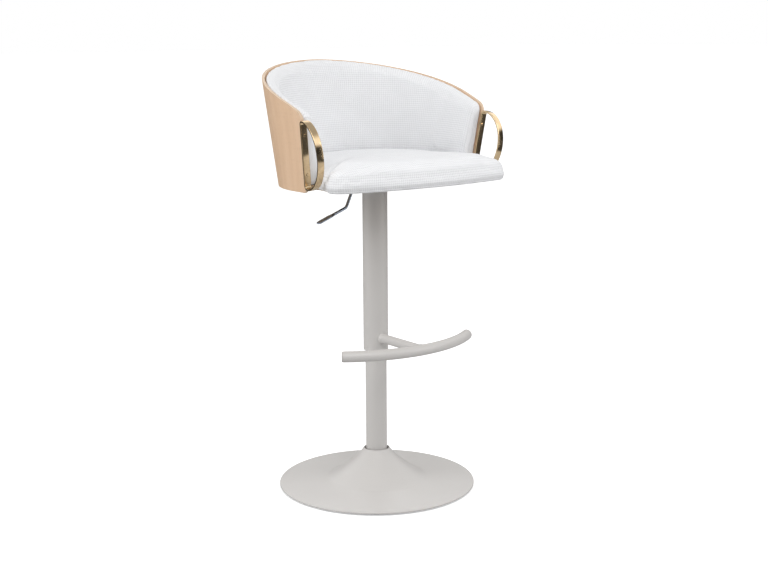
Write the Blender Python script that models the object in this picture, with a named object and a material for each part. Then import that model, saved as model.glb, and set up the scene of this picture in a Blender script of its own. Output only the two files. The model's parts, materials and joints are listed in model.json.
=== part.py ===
# Bar stool with footrest: gas-lift pedestal, trumpet base, T footrest, tub seat with two D-rings.
# Metres, +Z up. The origin is on the floor, on the column's axis. The sitter faces -Y.
# The gas lift stands at the top of its travel.
import bpy
import bmesh
import numpy as np
from math import cos, hypot, pi, radians, sin, sqrt, tan
from mathutils import Vector

# Shared clearances
GAP = 0.0003                  # between two pieces that touch
RUNNING_GAP = 0.0004          # between two pieces that slide or turn on each other
SOFT_GAP = 0.0015             # between upholstery and its neighbours
CUT_MARGIN = 0.0020           # by which a cutter stands out of the face that it cuts

# Overall sizes
SEAT_BASE_Z = 0.7070          # lower edge of the wood shell
LIFT_STROKE = 0.210           # travel of the gas spring
BASE_RADIUS = 0.2275
TUBE_RADIUS = 0.0245          # pedestal tube

# Base
FLOOR_RING_HEIGHT = 0.0035
FLOOR_RING_WIDTH = 0.0110
FLOOR_RING_INSET = 0.0100     # from the cover's edge to the rubber
COVER_SHEET = 0.0015
COVER_LIP = 0.0042            # height of the cover's upright rim
COVER_EDGE = 0.0020           # height and depth of the eased edge above the rim
COVER_SLOPE = 0.085           # rise of the disc towards the middle
TRUMPET_RADIUS = 0.1150       # where the disc starts to curve up
TRUMPET_STATIONS = (0.0, 0.05, 0.14, 0.28, 0.45, 0.65, 0.85, 1.0)
NECK_CLEAR = 0.0055           # from the tube to the outer edge of the neck's mouth
NECK_TOP_Z = 0.0865
TRUMPET_POWER = 1.2           # 2 is an ellipse, less is a more open trumpet
WEIGHT_INSET = 0.0725         # from the cover's edge to the weight
WEIGHT_THICKNESS = 0.0090
WEIGHT_CLEAR = 0.0022         # from the floor to the weight

# Pedestal tube and what is fixed in it
TUBE_WALL = 0.0020
TUBE_TOP_CLEAR = 0.0080       # left above the tube at the bottom of the travel
FLANGE_WIDTH = 0.0275         # from the tube to the flange's edge
FLANGE_THICKNESS = 0.0035
FLANGE_SCREW_INSET = 0.0130   # from the flange's edge to a screw's axis
FLANGE_SCREW_COUNT = 3
FOOT_PLUG_LIFT = 0.0170       # from the tube's foot to the plug
FOOT_PLUG_HEIGHT = 0.0080
GUIDE_BUSH_HEIGHT = 0.0400
GUIDE_BUSH_FLANGE = 0.0022

# Gas spring
ROD_RADIUS = 0.0050
ROD_NECK_RADIUS = 0.0040
ROD_TAIL = 0.0060             # of the rod's neck, below the plug
CLIP_THICKNESS = 0.0010
CLIP_WIDTH = 0.0040
CLIP_GROOVE = 0.0010
BEARING_HEIGHT = 0.0050
BEARING_RADIUS = 0.0120
PISTON_HEIGHT = 0.0140
CYLINDER_RADIUS = 0.0140
CYLINDER_WALL = 0.0022
CYLINDER_END_WALL = 0.0080
CYLINDER_FLOOR_CLEAR = 0.0120 # above the thrust bearing at the bottom of the travel
TAPER_LENGTH = 0.0420
TAPER_STEP = 0.0010           # how much narrower the taper is at its top
VALVE_RADIUS = 0.0030
VALVE_STANDS_OUT = 0.0065
VALVE_DEPTH = 0.0100

# Sleeve, hub and footrest
SLEEVE_WALL = 0.0020
SLEEVE_NECK_CLEAR = 0.0260    # from the sleeve's end to the neck at the bottom of the travel
GLIDE_BUSH_WALL = 0.0013
GLIDE_BUSH_HEIGHT = 0.0450
GLIDE_BUSH_RECESS = 0.0012
HUB_HEIGHT = 0.0400
FOOTREST_LIFT = 0.0295        # from the sleeve's end to the footrest's centreline
ARM_RADIUS = 0.0105
ARM_WALL = 0.0016
ARM_SADDLE_GAP = 0.0006       # between the arm's hollowed ends and the sleeve or the bar
BAR_RADIUS = 0.0122
BAR_WALL = 0.0015
BAR_FRONT = 0.1725            # from the axis to the bar's centreline, at its middle
BAR_CHORD = 0.3500
BAR_SAGITTA = 0.0560
CAP_FLANGE = 0.0025
CAP_PLUG = 0.0120
BAR_STATIONS = 8              # cross-sections on each half of the bar

# Lever and its housing
HOUSING_HEIGHT = 0.0180
HOUSING_SHEET = 0.0020
HOUSING_CORNER = 0.0080
HOUSING_BACK = 0.0450         # from the axis to the wall away from the lever
HOUSING_FRONT = 0.0480        # from the axis to the wall that the lever passes
HOUSING_SIDE_REACH = 0.0055   # from the sleeve to the housing's side
LEVER_PIVOT_X = -0.0350
LEVER_RADIUS = 0.0034
LEVER_BOSS_RADIUS = 0.0056
LEVER_BOSS_WIDTH = 0.0100
LEVER_INNER_REACH = 0.0050    # past the axis, over the valve pin
LEVER_OUTER_BEND = 0.0100     # from the housing's wall to the upper bend
LEVER_BEND_RADIUS = 0.0120
LEVER_PIN_RADIUS = 0.0022
LEVER_PIN_OVERHANG = 0.0015   # of the pin, past the housing's side
LEVER_BEND_OUT = 0.0315       # from the housing's wall to the lower bend
LEVER_BEND_DROP = 0.0469      # from the lever's inner arm to the lower bend
LEVER_TIP_OUT = 0.0785        # from the lower bend to the tip
LEVER_TIP_DROP = 0.0295
LEVER_SLOT = 0.0058           # half width of the housing's slot
LEVER_SLOT_SILL = 0.0010      # left above the housing's floor
PADDLE_HALF_WIDTH = 0.0090
PADDLE_HALF_THICKNESS = 0.0022
PADDLE_LENGTH = 0.0500

# Seat plate and board
PLATE_HALF_SIZE = 0.0900
PLATE_THICKNESS = 0.0030
PLATE_CORNER = 0.0150
PLATE_BOLT_SPACING = 0.1440
BOARD_THICKNESS = 0.0100
BOARD_LIFT = 0.0065           # from the shell's lower edge to the board's underside
BOARD_INSET = 0.0140          # from the cushion's edge to the board's, in front
BOARD_STATIONS = 14           # points on each half of the board's and the cushion's oval

# Screws: shank radius, head radius and head height
M6_SHANK = 0.0030
M6_HEAD = 0.0052
M6_HEAD_HEIGHT = 0.0036
SMALL_SHANK = 0.0018
SMALL_HEAD = 0.0034
SMALL_HEAD_HEIGHT = 0.0014
THREAD_DEPTH = 0.0070
SMALL_THREAD_COVER = 0.0025   # wood left beyond a small screw's tip

# Wood shell: half an oval with two straight arms, wider and longer towards the top
SHELL_HALF_WIDTH = 0.2304
SHELL_HALF_DEPTH = 0.2236
SHELL_CENTRE_Y = -0.0227
SHELL_WIDTH_FLARE = 0.1316    # growth of the half width for each metre of height
SHELL_DEPTH_FLARE = 0.1190
SHELL_CENTRE_DRIFT = 0.0162
SHELL_WRAP = 1.7840           # turn from the middle of the back to a front edge, in radians
SHELL_WRAP_FLARE = 0.3377
SHELL_FRONT_HEIGHT = 0.1692
SHELL_BACK_HEIGHT = 0.2722
SHELL_RIM_POWER = 1.78
SHELL_THICKNESS = 0.0070
SHELL_CORNER = 0.0120         # radius of the lower front corners

# Back pad
PAD_THICKNESS = 0.0250
PAD_SWELL = 0.0070            # extra thickness low down
PAD_BOTTOM = 0.0330           # above the seat's base
PAD_RIM_DROP = 0.0020         # below the shell's rim
PAD_WRAP_SHORT = 0.0025       # share of the wrap that the pad leaves free at a front edge

# Seat cushion
CUSHION_OVERHANG = 0.0081     # of the cushion's widest part, past the shell's side
CUSHION_RING_REACH = 0.0755   # of the cushion's front, past the rings
CUSHION_BOW = 0.0300          # how far the corners lie behind the middle of the front
CUSHION_CORNER = 0.0360
CUSHION_SIDE_HEIGHT = 0.0520
CUSHION_CROWN = 0.0140
CUSHION_ARM_CLEAR = 0.0080    # in front of the arms

# D-rings
RING_HEIGHT = 0.1500
RING_DEPTH = 0.0700
RING_WIDTH = 0.0150
RING_THICKNESS = 0.0045
RING_CORNER = 0.0070
RING_TOE_OUT = 6.0            # degrees
RING_LIFT = 0.0080            # from the seat's base to the ring's lowest point
RING_INBOARD = 0.0025         # from the shell's outer face to the strip's middle
RING_SEAT = 0.0006            # lets the flat bar clear the shell's edge
RING_SCREW_SPREAD = 0.0850

# Brackets between the board and the shell
BRACKET_TURNS = (0.0, 68.0, -68.0)   # degrees from the middle of the back
BRACKET_SHEET = 0.0020
BRACKET_LEG = 0.0145
BRACKET_HALF_WIDTH = 0.0110
BRACKET_SEAT = 0.0009         # lets a flat leg clear the curved shell

# Facets around round pieces
FINE = 48
MEDIUM = 32
COARSE = 16
SMALL = 10

# Colours that several pieces share
STEEL = (0.55, 0.55, 0.56)
COAT = (0.60, 0.565, 0.53)

# Depths and radii that follow from the sizes above
SMALL_THREAD_DEPTH = SHELL_THICKNESS - SMALL_THREAD_COVER
NECK_RADIUS = TUBE_RADIUS + NECK_CLEAR
WEIGHT_RADIUS = BASE_RADIUS - WEIGHT_INSET
FLANGE_RADIUS = TUBE_RADIUS + FLANGE_WIDTH
SLEEVE_BORE = TUBE_RADIUS + RUNNING_GAP + GLIDE_BUSH_WALL + GAP
SLEEVE_RADIUS = SLEEVE_BORE + SLEEVE_WALL
HOUSING_HALF_WIDTH = SLEEVE_RADIUS + HOUSING_SIDE_REACH

# Heights that follow from the sizes above
BOARD_LOW_Z = SEAT_BASE_Z + BOARD_LIFT
BOARD_TOP_Z = BOARD_LOW_Z + BOARD_THICKNESS
PLATE_TOP_Z = BOARD_LOW_Z - GAP
PLATE_LOW_Z = PLATE_TOP_Z - PLATE_THICKNESS
HOUSING_TOP_Z = PLATE_LOW_Z - GAP
HOUSING_LOW_Z = HOUSING_TOP_Z - HOUSING_HEIGHT
SLEEVE_TOP_Z = HOUSING_LOW_Z - GAP
SLEEVE_END_Z = NECK_TOP_Z + SLEEVE_NECK_CLEAR + LIFT_STROKE
FOOTREST_Z = SLEEVE_END_Z + FOOTREST_LIFT
HUB_TOP_Z = SLEEVE_TOP_Z
HUB_LOW_Z = HUB_TOP_Z - HUB_HEIGHT
CYLINDER_TOP_Z = HOUSING_LOW_Z + HOUSING_SHEET + GAP
VALVE_TOP_Z = CYLINDER_TOP_Z + VALVE_STANDS_OUT
LEVER_Z = VALVE_TOP_Z + GAP + LEVER_RADIUS
WEIGHT_TOP_Z = WEIGHT_CLEAR + WEIGHT_THICKNESS
TUBE_FOOT_Z = WEIGHT_TOP_Z + GAP
FOOT_PLUG_Z = TUBE_FOOT_Z + FOOT_PLUG_LIFT
FOOT_PLUG_TOP_Z = FOOT_PLUG_Z + FOOT_PLUG_HEIGHT
BEARING_TOP_Z = FOOT_PLUG_TOP_Z + GAP + BEARING_HEIGHT
CYLINDER_FOOT_Z = BEARING_TOP_Z + CYLINDER_FLOOR_CLEAR + LIFT_STROKE
TUBE_TOP_Z = HUB_LOW_Z - LIFT_STROKE - TUBE_TOP_CLEAR - GUIDE_BUSH_FLANGE


def clear_scene():
    for thing in list(bpy.data.objects):
        bpy.data.objects.remove(thing, do_unlink=True)


def finish_piece(name, bm, colour, roughness, metallic):
    """Turns a bmesh into a named object with its own material."""
    bmesh.ops.remove_doubles(bm, verts=bm.verts, dist=1e-6)
    bmesh.ops.dissolve_degenerate(bm, edges=bm.edges, dist=1e-7)
    bmesh.ops.recalc_face_normals(bm, faces=bm.faces)
    mesh = bpy.data.meshes.new(name)
    bm.to_mesh(mesh)
    bm.free()
    mesh.shade_smooth()
    mesh.set_sharp_from_angle(angle=radians(35))
    piece = bpy.data.objects.new(name, mesh)
    bpy.context.collection.objects.link(piece)
    if colour is not None:
        material = bpy.data.materials.new(name)
        material.use_nodes = True
        shader = material.node_tree.nodes["Principled BSDF"]
        shader.inputs["Base Color"].default_value = (*colour, 1.0)
        shader.inputs["Roughness"].default_value = roughness
        shader.inputs["Metallic"].default_value = metallic
        mesh.materials.append(material)
    return piece


def loft(rings, closed_round=False):
    """Skins a row of rings of points. The ends are capped, or joined when closed_round is set."""
    bm = bmesh.new()
    rows = [[bm.verts.new(point) for point in ring] for ring in rings]
    pairs = list(zip(rows, rows[1:]))
    if closed_round:
        pairs.append((rows[-1], rows[0]))
    for low, high in pairs:
        count = len(low)
        for i in range(count):
            j = (i + 1) % count
            bm.faces.new((low[i], low[j], high[j], high[i]))
    if not closed_round:
        bm.faces.new(rows[0])
        bm.faces.new(rows[-1])
    return bm


def turned(outline, facets):
    """Spins a closed outline of (radius, height) points about the column's axis."""
    bm = bmesh.new()
    corners = [bm.verts.new((radius, 0.0, height)) for radius, height in outline]
    edges = [bm.edges.new((a, b)) for a, b in zip(corners, corners[1:] + corners[:1])]
    bmesh.ops.spin(bm, geom=corners + edges, cent=(0, 0, 0), axis=(0, 0, 1), angle=2 * pi,
                   steps=facets, use_merge=True)
    on_axis = [v for v in bm.verts if hypot(v.co.x, v.co.y) < 1e-7]
    bmesh.ops.remove_doubles(bm, verts=on_axis, dist=1e-6)
    return bm


def tube_outline(inner, outer, low, high):
    return [(inner, low), (outer, low), (outer, high), (inner, high)]


def circle(centre, across, up, radius, facets):
    """Points of a circle spanned by two unit vectors."""
    turns = [2 * pi * i / facets for i in range(facets)]
    return [centre + across * (radius * cos(a)) + up * (radius * sin(a)) for a in turns]


def side_vectors(axis):
    """Two unit vectors square to an axis and to each other."""
    helper = Vector((0, 1, 0)) if abs(axis.y) < 0.9 else Vector((1, 0, 0))
    across = axis.cross(helper).normalized()
    return across, axis.cross(across)


def stepped_rod(start, axis, steps, facets=COARSE):
    """A rod along an axis. Each step is (distance from the start, radius)."""
    across, up = side_vectors(axis)
    return loft([circle(start + axis * distance, across, up, radius, facets) for distance, radius in steps])


def screw(name, seat, axis, length, shank, head, head_height):
    """A screw whose head rests on a seat; the axis points from the head into the shank."""
    steps = [(-head_height, head * 0.85), (-head_height * 0.5, head), (0, head), (0, shank), (length, shank)]
    bm = stepped_rod(seat - axis * GAP, axis, steps, SMALL)
    finish_piece(name, bm, (0.35, 0.35, 0.36), 0.35, 1.0)


def screw_hole(seat, axis, depth, shank):
    """A cutter for a screw's shank, from just above its seat."""
    radius = shank + GAP
    return stepped_rod(seat - axis * CUT_MARGIN, axis, [(0, radius), (CUT_MARGIN + depth, radius)], SMALL)


def prism(outline, low, high):
    """A plan outline of (x, y) points, raised from one height to another."""
    return loft([[Vector((x, y, z)) for x, y in outline] for z in (low, high)])


def rounded_box_outline(half_x, half_y, corner, steps=5):
    centres = [(half_x - corner, half_y - corner, 0), (corner - half_x, half_y - corner, 1),
               (corner - half_x, corner - half_y, 2), (half_x - corner, corner - half_y, 3)]
    points = []
    for cx, cy, quarter in centres:
        for i in range(steps + 1):
            angle = (quarter + i / steps) * pi / 2
            points.append((cx + corner * cos(angle), cy + corner * sin(angle)))
    return points


def merged(bms):
    """Several separate shapes in one bmesh, used only for cutters."""
    out = bmesh.new()
    for bm in bms:
        mesh = bpy.data.meshes.new("cutter_part")
        bmesh.ops.recalc_face_normals(bm, faces=bm.faces)
        bm.to_mesh(mesh)
        bm.free()
        out.from_mesh(mesh)
        bpy.data.meshes.remove(mesh)
    return out


def cut(piece, shapes):
    """Cuts shapes out of a piece with one Boolean."""
    cutter = finish_piece(piece.name + "_cutter", merged(shapes), None, 0, 0)
    cutter.hide_render = True
    cutter.display_type = 'WIRE'
    boolean = piece.modifiers.new("holes", 'BOOLEAN')
    boolean.operation = 'DIFFERENCE'
    boolean.solver = 'EXACT'
    boolean.object = cutter


# ---------------------------------------------------------------- base

def cover_height(radius):
    """Height of the cover's outer face: a shallow cone, then a trumpet up to the neck."""
    rim_z = FLOOR_RING_HEIGHT + GAP + COVER_LIP
    disc = rim_z + COVER_SLOPE * (BASE_RADIUS - radius)
    if radius >= TRUMPET_RADIUS:
        return disc
    share = (TRUMPET_RADIUS - radius) / (TRUMPET_RADIUS - NECK_RADIUS)
    rise = 1 - (1 - share ** TRUMPET_POWER) ** (1 / TRUMPET_POWER)
    disc_at_neck = rim_z + COVER_SLOPE * (BASE_RADIUS - NECK_RADIUS)
    return disc + (NECK_TOP_Z - disc_at_neck) * rise


def cover_under(radius):
    """A point under the cover, one sheet below its outer face and square to it."""
    step = 0.001
    slope = (cover_height(radius + step) - cover_height(radius - step)) / (2 * step)
    length = hypot(1, slope)
    return radius + slope / length * COVER_SHEET, cover_height(radius) - COVER_SHEET / length


def make_base_cover():
    rim_low = FLOOR_RING_HEIGHT + GAP
    flare = TRUMPET_RADIUS - NECK_RADIUS
    radii = [NECK_RADIUS + flare * share for share in TRUMPET_STATIONS]
    edge_radius = BASE_RADIUS - COVER_EDGE
    rim_high = cover_height(BASE_RADIUS) - COVER_EDGE
    top = [(radius, cover_height(radius)) for radius in radii]
    top += [(edge_radius, cover_height(edge_radius)), (BASE_RADIUS, rim_high)]
    bore = NECK_RADIUS - COVER_SHEET
    under = [(bore, NECK_TOP_Z)] + [cover_under(radius) for radius in radii[2:]]
    inner_rim = BASE_RADIUS - COVER_SHEET
    under.append((inner_rim, rim_high))
    outline = top + [(BASE_RADIUS, rim_low), (inner_rim, rim_low)] + under[::-1]
    finish_piece("base_cover", turned(outline, FINE), COAT, 0.45, 0.0)


def make_floor_ring():
    outer = BASE_RADIUS - FLOOR_RING_INSET
    outline = tube_outline(outer - FLOOR_RING_WIDTH, outer, 0.0, FLOOR_RING_HEIGHT)
    finish_piece("floor_ring", turned(outline, FINE), (0.03, 0.03, 0.03), 0.8, 0.0)


def flange_screw_seats():
    for i in range(FLANGE_SCREW_COUNT):
        angle = 2 * pi * i / FLANGE_SCREW_COUNT + pi / 2
        circle_radius = FLANGE_RADIUS - FLANGE_SCREW_INSET
        yield Vector((circle_radius * cos(angle), circle_radius * sin(angle), TUBE_FOOT_Z + FLANGE_THICKNESS))


def make_base_weight():
    down = Vector((0, 0, -1))
    outline = [(0, WEIGHT_CLEAR), (WEIGHT_RADIUS, WEIGHT_CLEAR), (WEIGHT_RADIUS, WEIGHT_TOP_Z), (0, WEIGHT_TOP_Z)]
    weight = finish_piece("base_weight", turned(outline, MEDIUM), (0.10, 0.10, 0.10), 0.7, 0.6)
    flange = tube_outline(TUBE_RADIUS + GAP, FLANGE_RADIUS, TUBE_FOOT_Z, TUBE_FOOT_Z + FLANGE_THICKNESS)
    flange = finish_piece("tube_flange", turned(flange, MEDIUM), STEEL, 0.4, 1.0)
    depth = FLANGE_THICKNESS + GAP + THREAD_DEPTH
    seats = list(flange_screw_seats())
    for host in (weight, flange):
        cut(host, [screw_hole(seat, down, depth, M6_SHANK) for seat in seats])
    for i, seat in enumerate(seats):
        screw(f"flange_screw_{i + 1}", seat, down, depth - GAP, M6_SHANK, M6_HEAD, M6_HEAD_HEIGHT)


# ---------------------------------------------------------------- column

def make_pedestal():
    bore = TUBE_RADIUS - TUBE_WALL
    finish_piece("pedestal_tube", turned(tube_outline(bore, TUBE_RADIUS, TUBE_FOOT_Z, TUBE_TOP_Z), FINE),
                 COAT, 0.45, 0.0)
    plug = tube_outline(ROD_NECK_RADIUS + RUNNING_GAP, bore - GAP, FOOT_PLUG_Z, FOOT_PLUG_TOP_Z)
    finish_piece("foot_plug", turned(plug, MEDIUM), STEEL, 0.4, 1.0)
    bush_top = TUBE_TOP_Z + GAP + GUIDE_BUSH_FLANGE
    guide = [(CYLINDER_RADIUS + RUNNING_GAP, TUBE_TOP_Z - GUIDE_BUSH_HEIGHT),
             (bore - GAP, TUBE_TOP_Z - GUIDE_BUSH_HEIGHT),
             (bore - GAP, TUBE_TOP_Z + GAP),
             (TUBE_RADIUS, TUBE_TOP_Z + GAP),
             (TUBE_RADIUS, bush_top),
             (CYLINDER_RADIUS + RUNNING_GAP, bush_top)]
    finish_piece("guide_bush", turned(guide, MEDIUM), (0.85, 0.85, 0.82), 0.5, 0.0)


def make_rod():
    tail_z = FOOT_PLUG_Z - ROD_TAIL
    clip_top = FOOT_PLUG_Z - GAP
    groove = ROD_NECK_RADIUS - CLIP_GROOVE
    groove_low = clip_top - CLIP_THICKNESS - GAP
    piston_foot = CYLINDER_FOOT_Z + CYLINDER_END_WALL + GAP
    piston = CYLINDER_RADIUS - CYLINDER_WALL - RUNNING_GAP
    outline = [(0, tail_z), (ROD_NECK_RADIUS, tail_z), (ROD_NECK_RADIUS, groove_low), (groove, groove_low),
               (groove, clip_top + GAP), (ROD_NECK_RADIUS, clip_top + GAP), (ROD_NECK_RADIUS, BEARING_TOP_Z + GAP),
               (ROD_RADIUS, BEARING_TOP_Z + GAP), (ROD_RADIUS, piston_foot), (piston, piston_foot),
               (piston, piston_foot + PISTON_HEIGHT), (0, piston_foot + PISTON_HEIGHT)]
    finish_piece("piston_rod", turned(outline, COARSE), (0.62, 0.62, 0.63), 0.15, 1.0)
    clip = tube_outline(groove + GAP, groove + CLIP_WIDTH, clip_top - CLIP_THICKNESS, clip_top)
    finish_piece("rod_clip", turned(clip, COARSE), STEEL, 0.35, 1.0)
    bearing = tube_outline(ROD_NECK_RADIUS + GAP, BEARING_RADIUS, FOOT_PLUG_TOP_Z + GAP, BEARING_TOP_Z)
    finish_piece("thrust_bearing", turned(bearing, MEDIUM), STEEL, 0.25, 1.0)


def make_cylinder():
    bore = CYLINDER_RADIUS - CYLINDER_WALL
    rod_hole = ROD_RADIUS + RUNNING_GAP
    valve_hole = VALVE_RADIUS + RUNNING_GAP
    outline = [(rod_hole, CYLINDER_FOOT_Z), (CYLINDER_RADIUS, CYLINDER_FOOT_Z),
               (CYLINDER_RADIUS, CYLINDER_TOP_Z - TAPER_LENGTH),
               (CYLINDER_RADIUS - TAPER_STEP, CYLINDER_TOP_Z), (valve_hole, CYLINDER_TOP_Z),
               (valve_hole, CYLINDER_TOP_Z - VALVE_DEPTH - CYLINDER_END_WALL),
               (bore, CYLINDER_TOP_Z - VALVE_DEPTH - CYLINDER_END_WALL),
               (bore, CYLINDER_FOOT_Z + CYLINDER_END_WALL), (rod_hole, CYLINDER_FOOT_Z + CYLINDER_END_WALL)]
    finish_piece("gas_cylinder", turned(outline, MEDIUM), (0.05, 0.05, 0.05), 0.35, 0.5)
    pin = [(0, CYLINDER_TOP_Z - VALVE_DEPTH), (VALVE_RADIUS, CYLINDER_TOP_Z - VALVE_DEPTH),
           (VALVE_RADIUS, VALVE_TOP_Z - 0.001), (VALVE_RADIUS - 0.001, VALVE_TOP_Z), (0, VALVE_TOP_Z)]
    finish_piece("valve_pin", turned(pin, COARSE), STEEL, 0.25, 1.0)


def taper_radius(height):
    """Radius of the gas cylinder's tapered end at a height."""
    share = (height - (CYLINDER_TOP_Z - TAPER_LENGTH)) / TAPER_LENGTH
    return CYLINDER_RADIUS - TAPER_STEP * min(max(share, 0), 1)


def make_sleeve():
    finish_piece("sleeve_tube", turned(tube_outline(SLEEVE_BORE, SLEEVE_RADIUS, SLEEVE_END_Z, SLEEVE_TOP_Z), FINE),
                 COAT, 0.45, 0.0)
    bush_low = SLEEVE_END_Z + GLIDE_BUSH_RECESS
    bush = tube_outline(TUBE_RADIUS + RUNNING_GAP, SLEEVE_BORE - GAP, bush_low, bush_low + GLIDE_BUSH_HEIGHT)
    finish_piece("glide_bush", turned(bush, FINE), (0.08, 0.08, 0.08), 0.5, 0.0)
    hub = [(taper_radius(HUB_LOW_Z) + GAP, HUB_LOW_Z), (SLEEVE_BORE - GAP, HUB_LOW_Z),
           (SLEEVE_BORE - GAP, HUB_TOP_Z), (taper_radius(HUB_TOP_Z) + GAP, HUB_TOP_Z)]
    finish_piece("seat_hub", turned(hub, MEDIUM), STEEL, 0.4, 1.0)


# ---------------------------------------------------------------- footrest

BAR_CURVE = (BAR_CHORD ** 2 / 4 + BAR_SAGITTA ** 2) / (2 * BAR_SAGITTA)
BAR_CENTRE_Y = BAR_CURVE - BAR_FRONT


def bar_frame(share):
    """Centre, tangent and outward vector of the bar's arc, for a share from -1 to 1 of its length."""
    half = np.arcsin(BAR_CHORD / 2 / BAR_CURVE)
    angle = share * half
    outward = Vector((sin(angle), -cos(angle), 0))
    centre = Vector((0, BAR_CENTRE_Y, FOOTREST_Z)) + outward * BAR_CURVE
    return centre, Vector((cos(angle), sin(angle), 0)), outward


def make_footrest():
    up = Vector((0, 0, 1))
    rings = []
    stations = [i / BAR_STATIONS for i in range(-BAR_STATIONS, BAR_STATIONS + 1)]
    for radius, order in ((BAR_RADIUS, stations), (BAR_RADIUS - BAR_WALL, stations[::-1])):
        for share in order:
            centre, _, outward = bar_frame(share)
            rings.append(circle(centre, outward, up, radius, COARSE))
    finish_piece("footrest_bar", loft(rings, closed_round=True), COAT, 0.45, 0.0)

    for side, name in ((-1, "footrest_cap_right"), (1, "footrest_cap_left")):
        centre, tangent, _ = bar_frame(side)
        axis = tangent * -side
        plug = BAR_RADIUS - BAR_WALL - GAP
        steps = [(-CAP_FLANGE - GAP, BAR_RADIUS * 0.86), (-CAP_FLANGE * 0.6 - GAP, BAR_RADIUS * 0.97),
                 (-GAP, BAR_RADIUS), (-GAP, plug), (CAP_PLUG, plug * 0.97)]
        finish_piece(name, stepped_rod(centre, axis, steps), COAT, 0.5, 0.0)

    rings = []
    for radius, back_first in ((ARM_RADIUS, True), (ARM_RADIUS - ARM_WALL, False)):
        back = []
        front = []
        for i in range(COARSE):
            x = radius * cos(2 * pi * i / COARSE)
            z = radius * sin(2 * pi * i / COARSE)
            back.append(Vector((x, -sqrt((SLEEVE_RADIUS + ARM_SADDLE_GAP) ** 2 - x * x), FOOTREST_Z + z)))
            inner_face = BAR_CURVE - sqrt((BAR_RADIUS + ARM_SADDLE_GAP) ** 2 - z * z)
            front.append(Vector((x, BAR_CENTRE_Y - sqrt(inner_face ** 2 - x * x), FOOTREST_Z + z)))
        rings += [back, front] if back_first else [front, back]
    finish_piece("footrest_arm", loft(rings, closed_round=True), COAT, 0.45, 0.0)


# ---------------------------------------------------------------- lever

def bent_path(corners, radius, steps=5):
    """A path through corner points with each inner corner turned into an arc."""
    points = [corners[0]]
    for before, corner, after in zip(corners, corners[1:], corners[2:]):
        to_before = (before - corner).normalized()
        to_after = (after - corner).normalized()
        half_angle = to_before.angle(to_after) / 2
        reach = radius / tan(half_angle)
        centre = corner + (to_before + to_after).normalized() * (radius / sin(half_angle))
        first = corner + to_before * reach - centre
        last = corner + to_after * reach - centre
        for i in range(steps + 1):
            points.append(centre + first.slerp(last, i / steps).normalized() * radius)
    points.append(corners[-1])
    return points


def lever_rings():
    """Cross-sections from the end over the valve pin to the flattened tip."""
    bend = Vector((-HOUSING_FRONT - LEVER_BEND_OUT, 0, LEVER_Z - LEVER_BEND_DROP))
    tip = bend - Vector((LEVER_TIP_OUT, 0, LEVER_TIP_DROP))
    corners = [Vector((LEVER_INNER_REACH, 0, LEVER_Z)), Vector((-HOUSING_FRONT - LEVER_OUTER_BEND, 0, LEVER_Z)),
               bend, tip]
    path = bent_path(corners, LEVER_BEND_RADIUS)
    paddle_start = tip + (bend - tip).normalized() * PADDLE_LENGTH
    blend_end = tip + (bend - tip).normalized() * (PADDLE_LENGTH * 0.72)
    path = path[:-1] + [paddle_start, blend_end, tip.lerp(blend_end, 0.12), tip]
    side = Vector((0, 1, 0))
    rings = []
    for i, point in enumerate(path):
        ahead = path[min(i + 1, len(path) - 1)]
        behind = path[max(i - 1, 0)]
        normal = (ahead - behind).normalized().cross(side)
        thick = LEVER_RADIUS
        wide = LEVER_RADIUS
        if i >= len(path) - 3:
            thick = PADDLE_HALF_THICKNESS
            wide = PADDLE_HALF_WIDTH
        if i == len(path) - 1:
            wide = PADDLE_HALF_WIDTH * 0.7
            thick = PADDLE_HALF_THICKNESS * 0.6
        turns = [2 * pi * k / 12 for k in range(12)]
        rings.append([point + normal * (thick * cos(a)) + side * (wide * sin(a)) for a in turns])
    return rings


def make_lever():
    side = Vector((0, 1, 0))
    pivot = Vector((LEVER_PIVOT_X, 0, LEVER_Z))
    boss_start = pivot - side * (LEVER_BOSS_WIDTH / 2)
    lever = finish_piece("lever", loft(lever_rings()), (0.30, 0.30, 0.32), 0.15, 1.0)
    boss = finish_piece("lever_boss_cutter", stepped_rod(boss_start, side, [(0, LEVER_BOSS_RADIUS),
                        (LEVER_BOSS_WIDTH, LEVER_BOSS_RADIUS)]), None, 0, 0)
    boss.hide_render = True
    boss.display_type = 'WIRE'
    union = lever.modifiers.new("boss", 'BOOLEAN')
    union.operation = 'UNION'
    union.solver = 'EXACT'
    union.object = boss
    hole = LEVER_PIN_RADIUS + RUNNING_GAP
    cut(lever, [stepped_rod(boss_start - side * CUT_MARGIN, side, [(0, hole), (LEVER_BOSS_WIDTH + 2 * CUT_MARGIN, hole)])])

    pin_half = HOUSING_HALF_WIDTH + LEVER_PIN_OVERHANG
    finish_piece("lever_pin", stepped_rod(pivot - side * pin_half, side, [(0, LEVER_PIN_RADIUS),
                 (2 * pin_half, LEVER_PIN_RADIUS)]), STEEL, 0.3, 1.0)


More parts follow.
